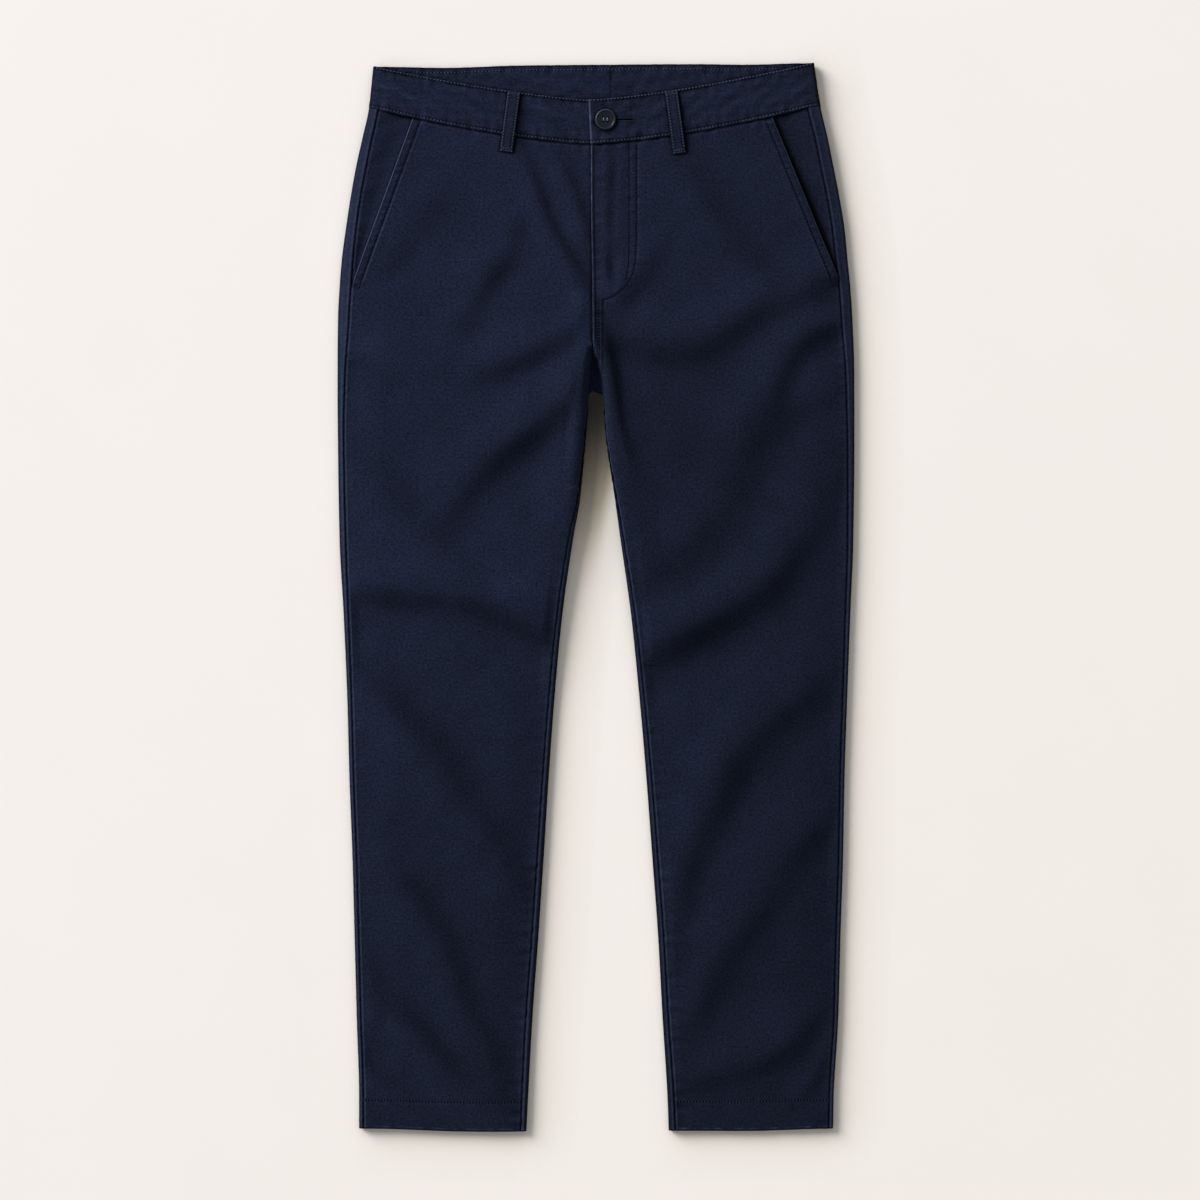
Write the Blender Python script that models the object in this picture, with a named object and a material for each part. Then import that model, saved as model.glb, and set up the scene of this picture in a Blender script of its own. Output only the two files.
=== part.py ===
"""Chino trousers laid flat on a table, front side up.

+X is the wearer's left, +Y runs up the trousers to the waist and +Z away from the table. The origin is on the
table, under the middle of the garment. Every size below is in millimetres; meshes are made in metres.

Each leg is a flattened tube of cloth. Its front panel lies on top. Its back panel lies on the table, wraps
round both sides of the leg and meets the front panel at seams that show a few millimetres in from each side.
Above the crotch the two halves meet on the centre line.
"""

import bmesh
import bpy
import numpy as np

MM = 0.001

# Driving sizes
LENGTH = 1030.0  # hem to the top of the back waistband
CENTRE_X = -3.0  # centre front: the fly's folded edge
BACK_LEAN = 17.0  # the centre back seam leans this far towards the left from the crotch to the waist
CROTCH = 751.0  # height above the hem at which the fronts meet
BACK_CROTCH = 713.0  # height at which the backs meet: they show between the legs below the fronts' crotch
WAIST_SEAM = 987.0  # height of the waistband's lower edge at the sides
CLOTH = 1.2  # wall of one layer of twill
SEAM_GAP = 0.3  # clearance between sewn pieces
SIDE_ROUND = 3.3  # how far in from a side its rounded fold reaches

# Trouser legs, seen from above: a row for each section
OUTSEAM_COLUMNS = ("height", "right_x", "left_x", "right_inset", "left_inset")
OUTSEAM = (
    (0.0, -227.5, 228.5, 4.0, 4.0),
    (30.0, -227.5, 229.0, 4.0, 4.0),
    (110.0, -230.5, 233.5, 4.0, 4.0),
    (185.0, -232.5, 235.5, 4.0, 4.0),
    (260.0, -234.5, 238.0, 4.0, 4.0),
    (340.0, -237.5, 239.5, 4.0, 4.0),
    (415.0, -239.5, 242.0, 4.0, 4.0),
    (495.0, -243.0, 245.0, 4.0, 4.5),
    (570.0, -247.0, 248.0, 4.3, 5.3),
    (665.0, -248.6, 249.0, 4.5, 6.8),
    (725.0, -249.0, 249.0, 6.0, 8.2),
    (785.0, -248.5, 247.0, 9.5, 10.4),
    (815.0, -247.0, 245.0, 10.0, 10.6),
    (840.0, -245.0, 242.5, 10.0, 10.6),
    (870.0, -241.0, 239.5, 9.3, 10.6),
    (900.0, -236.5, 234.5, 8.5, 10.6),
    (930.0, -231.0, 228.5, 8.0, 10.6),
    (957.0, -225.0, 223.0, 7.7, 10.6),
    (987.0, -218.5, 216.0, 7.7, 10.6),
    (1030.0, -214.0, 209.5, 7.7, 10.6),
)
INSEAM_COLUMNS = ("height", "right_x", "left_x", "right_inset", "left_inset")
INSEAM = (
    (0.0, -67.5, 70.5, 5.0, 6.0),
    (30.0, -66.0, 69.5, 5.3, 5.8),
    (110.0, -61.5, 64.5, 5.8, 5.3),
    (185.0, -56.0, 60.5, 5.8, 5.0),
    (260.0, -51.0, 55.0, 5.6, 5.0),
    (340.0, -46.0, 49.0, 5.2, 4.7),
    (415.0, -40.5, 42.5, 5.0, 4.3),
    (495.0, -33.0, 34.5, 4.6, 3.4),
    (570.0, -22.5, 24.0, 3.9, 2.6),
    (610.0, -15.5, 18.5, 2.0, 1.4),
    (665.0, -10.5, 10.5, 0.5, 0.4),
    (705.0, -7.5, 7.0, 0.0, 0.0),
    (730.0, -6.0, 4.5, 0.0, 0.0),
    (743.0, -5.0, 1.5, 0.0, 0.0),
    (CROTCH, CENTRE_X, CENTRE_X, 0.0, 0.0),
)

# Heights above the table: of the underside, the top of the outer and inner sides, the middle, and the least
# the top may come to
LOFT_COLUMNS = ("height", "underside", "side_top", "inner_top", "middle", "least")
LOFT = (
    (0.0, 0.0, 6.4, 6.4, 6.0, 5.4),
    (34.0, 0.0, 6.6, 6.6, 5.9, 5.3),
    (75.0, 0.0, 6.6, 6.6, 4.8, 2.9),
    (400.0, 0.0, 6.8, 7.0, 4.8, 2.9),
    (500.0, 0.0, 6.9, 8.6, 4.9, 2.9),
    (600.0, 0.0, 7.0, 11.6, 5.0, 2.9),
    (700.0, 0.0, 7.2, 13.8, 5.2, 2.9),
    (770.0, 0.0, 7.4, 13.2, 5.6, 3.6),
    (820.0, 0.0, 7.6, 12.0, 6.0, 4.9),
    (885.0, 0.0, 7.8, 11.2, 6.4, 5.0),
    (950.0, 2.4, 8.9, 11.2, 7.9, 7.3),
    (987.0, 2.4, 9.2, 11.2, 7.9, 7.6),
    (1030.0, 2.4, 9.2, 11.2, 7.9, 7.6),
)
MIDDLE_RUN = 46.0  # distance over which the cloth falls from a side to the middle
SEAM_LOW = CLOTH + SEAM_GAP + 0.1  # between the two crotches the fronts' inner edges come down to the backs
SEAM_LOW_RUN = 30.0  # height over which they do so
SEAM_RELEASE = 2.0  # above the backs' crotch, where fronts and backs part
LEAST_ROUND = 0.5  # how softly the folds come to rest on the layer below
FOLD_FADE = 14.0  # distance over which the folds die out at a side
FOLD_END = 0.18  # share of its length by which a fold runs out past each end
CROTCH_TURN = 7.0  # height over which the crotch seam turns from the top layer to the back
CROTCH_RISE = 90.0  # how far above the crotch the cloth still stands higher

# Folds: the crest runs from (x, y) to (x, y), bowed sideways in its middle. Its steep flank is on the right
# of that direction and its gentle flank on the left.
FOLD_COLUMNS = ("x_start", "y_start", "x_end", "y_end", "bow", "rise", "gentle", "steep")
FOLDS = (
    # right leg
    (-8.0, 256.0, -150.0, 226.0, 4.0, -1.8, 22.0, 14.0),
    (-14.0, 204.0, -135.0, 112.0, 6.0, -2.2, 34.0, 15.0),
    (-232.0, 226.0, -170.0, 212.0, 0.0, 1.2, 20.0, 12.0),
    (-234.0, 150.0, -120.0, 42.0, -6.0, 1.6, 26.0, 18.0),
    (-60.0, -34.0, -225.0, 14.0, 10.0, -2.4, 40.0, 17.0),
    (-196.0, -88.0, -76.0, -246.0, -10.0, 2.0, 34.0, 22.0),
    (-204.0, -250.0, -98.0, -440.0, -8.0, 2.0, 30.0, 20.0),
    (-222.0, -350.0, -130.0, -470.0, 0.0, 1.4, 24.0, 18.0),
    # left leg
    (190.0, 270.0, 10.0, 252.0, 20.0, -1.8, 26.0, 15.0),
    (240.0, 258.0, 150.0, 168.0, 4.0, -2.0, 26.0, 15.0),
    (44.0, 160.0, 130.0, 130.0, 0.0, 1.3, 22.0, 18.0),
    (232.0, 108.0, 48.0, -44.0, 26.0, -2.6, 42.0, 17.0),
    (230.0, -78.0, 92.0, -240.0, 16.0, -2.2, 36.0, 18.0),
    (226.0, -206.0, 98.0, -396.0, 14.0, -2.2, 36.0, 18.0),
    (224.0, -392.0, 104.0, -478.0, 6.0, -2.0, 26.0, 16.0),
    # seat and fly
    (-62.0, 404.0, -14.0, 284.0, 0.0, 1.4, 20.0, 12.0),
    (-110.0, 412.0, -190.0, 338.0, 4.0, -1.0, 24.0, 16.0),
    (-60.0, 380.0, -120.0, 270.0, 4.0, -1.1, 26.0, 18.0),
    (88.0, 396.0, 160.0, 320.0, 0.0, 1.3, 26.0, 16.0),
    (18.0, 420.0, 24.0, 320.0, 0.0, 0.8, 10.0, 9.0),
)

# Waist, seen from above: the front dips towards the centre by these depths
WAIST_HALF = 216.0
SEAM_DIP = 36.0
SEAM_DIP_POWER = 1.47
EDGE_DIP = 34.3
EDGE_DIP_POWER = 1.35
BACK_SAGS = ((-144.0, 1.8, 44.0), (146.0, 1.1, 36.0))  # x, depth and half width
BAND_EDGE = 1028.25  # height of the waistband's upper edge at the sides
BAND_CLOTH = 2.4
BAND_PROUD = 0.6  # how far the waistband stands out from the panels
SEAM_TILT = 0.75  # the waist seam lies this much higher at the left side and lower at the right
EDGE_TILT = 1.75  # the same for the waistband's upper edge
DIP_START = 800.0  # height at which the panels' rows start to follow the waist

# Fly
FLY_BOTTOM = 16.0  # the fronts overlap from this far above the crotch
FLY_UNDERLAP = 12.0  # how far the right front reaches under the left
FLY_SPLIT = 0.8  # how far the left front is lifted and the right front pressed down there
FLY_EASE = 9.0
FLY_OPENING = 24.0  # height over which the overlap widens
BAND_START = -5.2  # the left waistband's end, at its lower edge
BAND_UNDERLAP = 26.0
BAND_SPLIT = 1.4

# Slant pockets: their mouths run from (x_top, y_top) at the waist seam to (x_end, y_end) at the side seam
MOUTH_COLUMNS = ("x_top", "y_top", "x_end", "y_end")
MOUTHS = {
    "right": (176.2, 462.5, 235.5, 300.0),
    "left": (170.2, 462.0, 235.0, 303.0),
}
FACING_UNDERLAP = 16.0
FACING_DROP = CLOTH + SEAM_GAP
FACING_LEVEL = 14.0  # visible width from which the facing comes up level with the side seam
FACING_BELOW = 6.0  # how far it reaches below the mouth

# Hems
HEM_HEIGHT = 30.0
HEM_CLOTH = 1.0
HEM_LIFT = 3.0  # the right hem's outer corner lies this much higher
HEM_LIFT_HEIGHT = 82.5  # height at which that lift has faded out
HEM_LIFT_FROM = 130.0  # distance from x = 0 at which it starts
HEM_LIFT_RUN = 90.0

# Belt loops: a row for each, with the middle of its upper and lower ends
LOOP_WIDTH = 12.6
LOOP_CLOTH = 1.5
FRONT_LOOPS = (
    ("loop_front_right", (-79.0, 486.0), (-86.5, 428.5)),
    ("loop_front_left", (72.5, 486.0), (80.5, 427.0)),
)
BACK_LOOPS = (
    ("loop_back_right", -124.0),
    ("loop_back_centre", CENTRE_X + BACK_LEAN),
    ("loop_back_left", 126.0),
)
BACK_LOOP_LENGTH = 61.0
BACK_LOOP_IN = 1.0  # how far below the waistband's upper edge a back loop ends
LOOP_SHARES = (1.0, 0.94, 0.84, 0.74, 0.55, 0.35, 0.15, 0.0)  # its rows: its lower end is 1, its upper 0
LOOP_STEP = 0.72  # the share at which a loop has come up from the waistband
LOOP_STEP_RUN = 0.14
LOOP_BOW = 0.5  # how far a loop stands off the waistband in its middle

# Button
BUTTON_AT = (9.2, 459.5)
BUTTON_RADIUS = 10.1
BUTTON_PROFILE = (  # radius as a share of the button's, height
    (0.0, 0.0),
    (0.86, 0.0),
    (1.0, 0.9),
    (1.0, 2.0),
    (0.93, 2.7),
    (0.82, 2.7),
    (0.68, 1.8),
    (0.0, 1.6),
)
BUTTON_SEGMENTS = 32
THREAD_HOLE_RADIUS = 1.1
THREAD_HOLE_OFFSET = 2.0
THREAD_HOLE_DEPTH = 12.0
THREAD_HOLE_SEGMENTS = 12

NAVY = (0.012, 0.016, 0.036, 1.0)
NAVY_BUTTON = (0.010, 0.012, 0.022, 1.0)

# Points along a section
LEG_ROWS = 26
SEAT_ROWS = 10
FRONT_ENDS = (0.0, 3.0, 9.0, 19.0)
FRONT_STEPS = 8
BACK_WRAP = 7  # points from the outseam round the side to the table
BACK_STEPS = 4
BACK_END = 6
BACK_END_LEAST = 10.0  # least length of the back's inner edge
DENSE = 160  # points in a section's long runs before it is sampled
ARC_POINTS = 30
STRIP_POINTS = 12
CROTCH_ROWS = (-6.0, -1.0, 1.0, 3.0, 5.0, CROTCH_TURN)  # heights of the rows round each crotch, from it
FACING_ROWS = 10
FACING_STEPS = 6
BAND_ROWS = 4
BAND_STEPS = 9
BAND_TURN = 9
BAND_BACK = 5


def column(table, names, name):
    """One named column of a table as an array."""
    return np.array([row[names.index(name)] for row in table])


def follow(table, names, name, at):
    """A table's column as a smooth curve of height: cubic pieces that never overshoot the rows.

    A row's slope is the harmonic mean of the slopes on its two sides, or none where they differ in sign.
    """
    knots = column(table, names, "height")
    values = column(table, names, name)
    steps = np.diff(values) / np.diff(knots)
    product = steps[1:] * steps[:-1]
    total = steps[1:] + steps[:-1]
    mean = np.where(product > 0, 2 * product / np.where(product > 0, total, 1.0), 0.0)
    slopes = np.concatenate([steps[:1], mean, steps[-1:]])
    at = np.clip(at, knots[0], knots[-1])
    i = np.clip(np.searchsorted(knots, at, side="right") - 1, 0, len(knots) - 2)
    span = knots[i + 1] - knots[i]
    t = (at - knots[i]) / span
    rise = values[i + 1] - values[i]
    start = slopes[i] * span - rise
    end = rise - slopes[i + 1] * span
    return values[i] + t * rise + t * (1 - t) * ((1 - t) * start + t * end)


def ease(t):
    """Rises smoothly from 0 at t = 0 to 1 at t = 1."""
    t = np.clip(t, 0.0, 1.0)
    return t * t * (3 - 2 * t)


def y_of(height):
    return height - LENGTH / 2


def y_to_height(y):
    return y + LENGTH / 2


def side_sign(side):
    return 1.0 if side == "left" else -1.0


def outer_x(side, height):
    return follow(OUTSEAM, OUTSEAM_COLUMNS, side + "_x", height)


def inner_x(side, height):
    """The front's inner edge: the leg's, or the centre line above the crotch."""
    leg = follow(INSEAM, INSEAM_COLUMNS, side + "_x", height)
    return np.where(np.asarray(height) < CROTCH, leg, CENTRE_X) + side_sign(side) * SEAM_GAP / 2


def back_centre_x(height):
    """The centre back seam, above the crotch."""
    return CENTRE_X + BACK_LEAN * ease((height - CROTCH) / (WAIST_SEAM - CROTCH))


def back_inner_x(side, height):
    """The back's inner edge: the leg's, which turns in to the centre back seam above the back's crotch."""
    joined = ease((height - BACK_CROTCH) / CROTCH_TURN)
    centre = back_centre_x(height) + side_sign(side) * SEAM_GAP / 2
    return inner_x(side, height) + (centre - inner_x(side, height)) * joined


def loft(name, height):
    return follow(LOFT, LOFT_COLUMNS, name, height)


def folds(x, y):
    """Sum of the folds: each is a crest with a gentle and a steep flank, fading out towards its ends."""
    total = np.zeros(np.broadcast(x, y).shape)
    for x0, y0, x1, y1, bow, rise, gentle, steep in FOLDS:
        length = np.hypot(x1 - x0, y1 - y0)
        along_x, along_y = (x1 - x0) / length, (y1 - y0) / length
        along = ((x - x0) * along_x + (y - y0) * along_y) / length
        across = (x - x0) * along_y - (y - y0) * along_x - 4 * bow * along * (1 - along)
        width = np.where(across > 0, steep, gentle)
        reach = ease((along + FOLD_END) / (2 * FOLD_END)) * ease((1 + FOLD_END - along) / (2 * FOLD_END))
        total += rise * reach * np.exp(-((across / width) ** 2))
    return total


def top_z(side, x, height, y):
    """The upper surface: it falls from the sides to the middle, carries the folds and rests on what is below.

    The last step is a soft floor: least + r * log(1 + exp((z - least) / r)).
    """
    from_outer = np.abs(x - outer_x(side, height)) - SIDE_ROUND
    from_inner = np.abs(x - inner_x(side, height)) - SIDE_ROUND
    apart = ease((CROTCH + CROTCH_RISE - height) / CROTCH_RISE)
    near_inner = apart * (1 - ease(from_inner / MIDDLE_RUN))
    calm = ease(from_outer / FOLD_FADE) * (1 - apart * (1 - ease(from_inner / FOLD_FADE)))
    middle, least = loft("middle", height), loft("least", height)
    z = middle + (loft("side_top", height) - middle) * (1 - ease(from_outer / MIDDLE_RUN))
    z = z + (loft("inner_top", height) - middle) * near_inner + folds(x, y) * calm
    return least + LEAST_ROUND * np.logaddexp(0.0, (z - least) / LEAST_ROUND)


def waist_dip(x, depth, power):
    """How far below the sides the front of the waist lies: deepest at the centre, none at the sides."""
    reach = np.clip(np.abs(x - CENTRE_X) / WAIST_HALF, 0.0, 1.0)
    return -depth * (1 - reach**power)


def tilt(x, rise):
    return rise * np.clip(x / WAIST_HALF, -1.0, 1.0)


def seam_shift(x, on_top):
    """How far the waist seam lies from its height at the sides: its tilt, and on the front its dip."""
    return tilt(x, SEAM_TILT) + np.where(on_top, waist_dip(x, SEAM_DIP, SEAM_DIP_POWER), 0.0)


def edge_shift(x, on_top):
    """The same for the waistband's upper edge, which sags a little on the back, either side of its middle."""
    sag = sum(-depth * np.exp(-(((x - at) / width) ** 2)) for at, depth, width in BACK_SAGS)
    return tilt(x, EDGE_TILT) + np.where(on_top, waist_dip(x, EDGE_DIP, EDGE_DIP_POWER), sag)


def row_y(x, height, on_top):
    """A row's points: straight across the legs, bending with the waist towards the top of the front."""
    bend = ease((height - DIP_START) / (WAIST_SEAM - DIP_START))
    fade = 1 - ease(height / HEM_LIFT_HEIGHT)
    lift = HEM_LIFT * fade * ease((-x - HEM_LIFT_FROM) / HEM_LIFT_RUN)
    return y_of(height) + bend * seam_shift(x, on_top) + lift


def arc(end_x, direction, angles, low, middle, high, end_angle):
    """Part of the curve round an edge of the flattened tube, as x and z.

    It is a quarter ellipse above its middle and another below it.
    """
    x = end_x + direction * SIDE_ROUND * (np.cos(end_angle) - np.cos(angles))
    reach = np.where(angles > 0, high - middle, middle - low)
    return x, middle + reach * np.sin(angles)


def inset_angle(inset):
    """Where on the rounded edge a seam lies that shows this far in from the side."""
    return float(np.arccos(np.clip(1 - inset / SIDE_ROUND, 0.0, 1.0)))


def section(side, height):
    """The outer surface of one half at one height: the front's curve, the back's, and two lengths along it.

    The front runs from the inseam, or the centre front, over the top to the outseam. The back runs from the
    outseam round the side, along the table and up to the inseam, or along to the centre back. The lengths are
    from the outseam to where the side meets the table, and from there to where the inner edge leaves it.
    """
    out = side_sign(side)
    outer, inner = float(outer_x(side, height)), float(inner_x(side, height))
    low, high = float(loft("underside", height)), float(loft("side_top", height))
    inner_high = float(loft("inner_top", height))
    inner_middle = (low + inner_high) / 2
    settled = float(ease((height - BACK_CROTCH + SEAM_LOW_RUN) / SEAM_LOW_RUN))
    inner_middle += (SEAM_LOW - inner_middle) * settled
    quarter = np.pi / 2
    turn = quarter * float(np.clip((height - CROTCH) / CROTCH_TURN, 0.0, 1.0))
    back_turn = quarter * float(np.clip((height - BACK_CROTCH) / CROTCH_TURN, 0.0, 1.0))
    out_inset = float(follow(OUTSEAM, OUTSEAM_COLUMNS, side + "_inset", height))
    in_inset = float(follow(INSEAM, INSEAM_COLUMNS, side + "_inset", height)) if height < BACK_CROTCH else 0.0

    def top_run(start, end, count):
        x = np.linspace(start, end, count)
        y = row_y(x, height, True)
        return np.stack([x, y, top_z(side, x, height, y)], axis=1)

    def outer_edge(start, end, on_top):
        x, z = arc(outer, -out, np.linspace(start, end, ARC_POINTS), low, (low + high) / 2, high, 0.0)
        return np.stack([x, row_y(x, height, on_top), z], axis=1)

    def inner_edge(end_x, start, end, end_angle, on_top):
        x, z = arc(end_x, out, np.linspace(start, end, ARC_POINTS), low, inner_middle, inner_high, end_angle)
        return np.stack([x, row_y(x, height, on_top), z], axis=1)

    out_angle, in_angle = inset_angle(out_inset), inset_angle(in_inset)
    in_start = inner + out * max(in_inset, SIDE_ROUND * float(np.cos(turn)))
    out_end = outer - out * max(out_inset, SIDE_ROUND)
    front = [top_run(in_start, out_end, DENSE)]
    if max(in_angle, turn) < quarter:
        front.insert(0, inner_edge(inner, max(in_angle, turn), quarter, turn, True)[:-1])
    if out_angle < quarter:
        front.append(outer_edge(quarter, out_angle, True)[1:])

    back = []
    if out_inset > SIDE_ROUND:
        back.append(top_run(out_end, outer - out * SIDE_ROUND, STRIP_POINTS)[:-1])
    back.append(outer_edge(out_angle, 0.0, True)[:-1])
    back.append(outer_edge(0.0, -quarter, False))
    wrap = path_length(np.concatenate(back))[-1]
    back_inner = float(back_inner_x(side, height))
    table_end = back_inner + out * SIDE_ROUND * float(np.cos(back_turn))
    x = np.linspace(outer - out * SIDE_ROUND, table_end, DENSE)
    table = np.stack([x, row_y(x, height, False), np.full(DENSE, low)], axis=1)
    back.append(table[1:])
    flat = wrap + path_length(table)[-1]
    if back_turn < quarter:
        end_angle = in_angle if height < BACK_CROTCH else -back_turn
        back.append(inner_edge(back_inner, -quarter, min(end_angle, 0.0), back_turn, False)[1:])
        if end_angle > 0.0:
            back.append(inner_edge(back_inner, 0.0, end_angle, back_turn, True)[1:])
        if in_inset > SIDE_ROUND:
            back.append(top_run(back_inner + out * SIDE_ROUND, back_inner + out * in_inset, STRIP_POINTS)[1:])
    return np.concatenate(front), np.concatenate(back), wrap, flat


def path_length(curve):
    return np.concatenate([[0.0], np.cumsum(np.linalg.norm(np.diff(curve, axis=0), axis=1))])


def at_lengths(curve, lengths):
    run = path_length(curve)
    return np.stack([np.interp(lengths, run, curve[:, k]) for k in range(3)], axis=1)


def sampled_front(curve):
    """A front panel's points: close together at its ends, evenly between them."""
    near = np.array(FRONT_ENDS) + SEAM_GAP / 2
    far = path_length(curve)[-1] - near[::-1]
    middle = np.linspace(near[-1], far[0], FRONT_STEPS + 1)[1:-1]
    return at_lengths(curve, np.concatenate([near, middle, far]))


def sampled_back(curve, wrap, flat):
    """A back panel's points: round the side, along the table, and round the inner edge."""
    start, end = SEAM_GAP / 2, path_length(curve)[-1] - SEAM_GAP / 2
    last = min(flat, end - BACK_END_LEAST)
    lengths = [
        np.linspace(start, wrap, BACK_WRAP),
        np.linspace(wrap, last, BACK_STEPS + 1)[1:-1],
        np.linspace(last, end, BACK_END),
    ]
    return at_lengths(curve, np.concatenate(lengths))


def mouth_x(side, y):
    """Distance of a slant pocket's mouth from x = 0, at this y."""
    x_top, y_top, x_end, y_end = MOUTHS[side]
    return x_end + (y - y_end) / (y_top - y_end) * (x_top - x_end)


def cut_at_mouth(side, curve):
    """The front panel's section, cut off where it reaches the pocket's mouth."""
    past = (np.abs(curve[:, 0]) > mouth_x(side, curve[:, 1])) & (curve[:, 1] > MOUTHS[side][3])
    return curve[: np.argmax(past)] if past.any() else curve


def fly_shift(side, x, underlap, split):
    """How the cloth parts at the fly: the left front lifts over the right one, which is pressed down."""
    reach = ease(1 - np.clip(np.abs(x - CENTRE_X) - underlap, 0.0, None) / FLY_EASE)
    return side_sign(side) * split * reach


def open_fly(side, height, front):
    """The front's section above the crotch: the right one is carried on under the left one."""
    rise = ease((height - CROTCH) / FLY_BOTTOM)
    reach = ease((height - CROTCH - FLY_BOTTOM) / FLY_OPENING)
    if side == "right" and reach > 0:
        x = np.linspace(CENTRE_X + FLY_UNDERLAP * reach, front[0, 0], STRIP_POINTS, endpoint=False)
        y = row_y(x, height, True)
        front = np.concatenate([np.stack([x, y, top_z(side, x, height, y)], axis=1), front])
    front[:, 2] += rise * fly_shift(side, front[:, 0], FLY_UNDERLAP, FLY_SPLIT)
    return front


def normals(points, closed=False):
    """Unit normals of a grid of points: the tangent along the rows crossed with the tangent across them."""
    if closed:
        along = np.roll(points, -1, axis=1) - np.roll(points, 1, axis=1)
    else:
        along = np.gradient(points, axis=1)
    across = np.gradient(points, axis=0)
    across[0, :, 0] = 0.0
    across[0, :, 2] = 0.0
    across[-1, :, 0] = 0.0
    across[-1, :, 2] = 0.0
    normal = np.cross(along, across)
    return normal / np.linalg.norm(normal, axis=2, keepdims=True)


def grid_faces(rows, columns, closed=False, flip=False, start=0):
    """Quads of a grid of points stored row by row. A closed grid joins its last column to its first."""
    faces = []
    for r in range(rows - 1):
        for c in range(columns if closed else columns - 1):
            d = (c + 1) % columns
            quad = (r * columns + c, r * columns + d, (r + 1) * columns + d, (r + 1) * columns + c)
            quad = tuple(start + k for k in quad)
            faces.append(quad[::-1] if flip else quad)
    return faces


def rim_faces(edge, other):
    """Quads that join the edge of one surface to the same edge of the other."""
    return [(edge[k + 1], edge[k], other[k], other[k + 1]) for k in range(len(edge) - 1)]


def make_object(name, points, faces, colour=NAVY, roughness=0.85):
    """An object with its own material, from points in millimetres."""
    mesh = bpy.data.meshes.new(name)
    mesh.from_pydata([tuple(p) for p in np.asarray(points) * MM], [], faces)
    mesh.update()
    obj = bpy.data.objects.new(name, mesh)
    bpy.context.scene.collection.objects.link(obj)
    material = bpy.data.materials.new(name)
    material.use_nodes = True
    shader = material.node_tree.nodes["Principled BSDF"]
    shader.inputs["Base Color"].default_value = colour
    shader.inputs["Roughness"].default_value = roughness
    shader.inputs["Metallic"].default_value = 0.0
    mesh.materials.append(material)
    return obj


def cloth(name, outside, inside, closed=False):
    """A piece of cloth between two grids of points, outside and inside, with its edges closed.

    Rows run towards the waist, and points along a row so that the outside is on the left of their direction.
    """
    rows, columns = outside.shape[:2]
    count = rows * columns
    faces = grid_faces(rows, columns, closed)
    faces += grid_faces(rows, columns, closed, flip=True, start=count)
    index = np.arange(count).reshape(rows, columns)
    ends = list(range(columns)) + [0] if closed else list(range(columns))
    edges = [index[0, ends], index[-1, ends][::-1]]
    if not closed:
        edges += [index[:, -1], index[::-1, 0]]
    for edge in edges:
        faces += rim_faces(edge.tolist(), (edge + count).tolist())
    points = np.concatenate([outside.reshape(-1, 3), inside.reshape(-1, 3)])
    return make_object(name, points, faces)


def facing_out(side, points, normal):
    """Puts a right piece's points in the order that keeps its outside on the left of its rows."""
    return (points[:, ::-1], -normal[:, ::-1]) if side == "right" else (points, normal)


def sewn_piece(name, side, points, normal, thickness, depth=0.0, closed=False):
    """A piece whose outer face lies this deep under the points, with its thickness below that."""
    points, normal = facing_out(side, points, normal)
    cloth(name, points - normal * depth, points - normal * (depth + thickness), closed)


def row_heights():
    """Heights of the sections: even along the legs, close together round the crotch, even up to the waist."""
    legs = np.linspace(HEM_HEIGHT + 6.0, BACK_CROTCH - 18.0, LEG_ROWS)
    back_crotch = BACK_CROTCH + np.array(CROTCH_ROWS + (20.0,))
    crotch = CROTCH + np.array(CROTCH_ROWS + (FLY_BOTTOM,))
    seat = np.linspace(crotch[-1], WAIST_SEAM, SEAT_ROWS + 1)[1:]
    return np.concatenate([[0.0, 14.0], legs, back_crotch, crotch, seat])


def panel_grids(side):
    """The points and normals of one half's front and back panels, which share their normals along a seam."""
    fronts, backs = [], []
    heights = row_heights()
    for height in heights:
        front, back, wrap, flat = section(side, height)
        front = cut_at_mouth(side, front)
        if height > CROTCH:
            front = open_fly(side, height, front)
        fronts.append(sampled_front(front))
        backs.append(sampled_back(back, wrap, flat))
    fronts, backs = np.stack(fronts), np.stack(backs)
    front_normals, back_normals = normals(fronts), normals(backs)
    outseam = np.linalg.norm(fronts[:, -1] - backs[:, 0], axis=1) < 2 * SEAM_GAP
    inseam = heights < BACK_CROTCH + SEAM_RELEASE
    for sewn, a, b in ((outseam, -1, 0), (inseam, 0, -1)):
        shared = front_normals[:, a] + back_normals[:, b]
        shared /= np.linalg.norm(shared, axis=1, keepdims=True)
        front_normals[sewn, a] = shared[sewn]
        back_normals[sewn, b] = shared[sewn]
    return fronts, front_normals, backs, back_normals


def make_panels(side):
    """The front and back panels of one half."""
    fronts, front_normals, backs, back_normals = panel_grids(side)
    sewn_piece("front_" + side, side, fronts, front_normals, CLOTH)
    sewn_piece("back_" + side, side, backs, back_normals, CLOTH)


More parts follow.
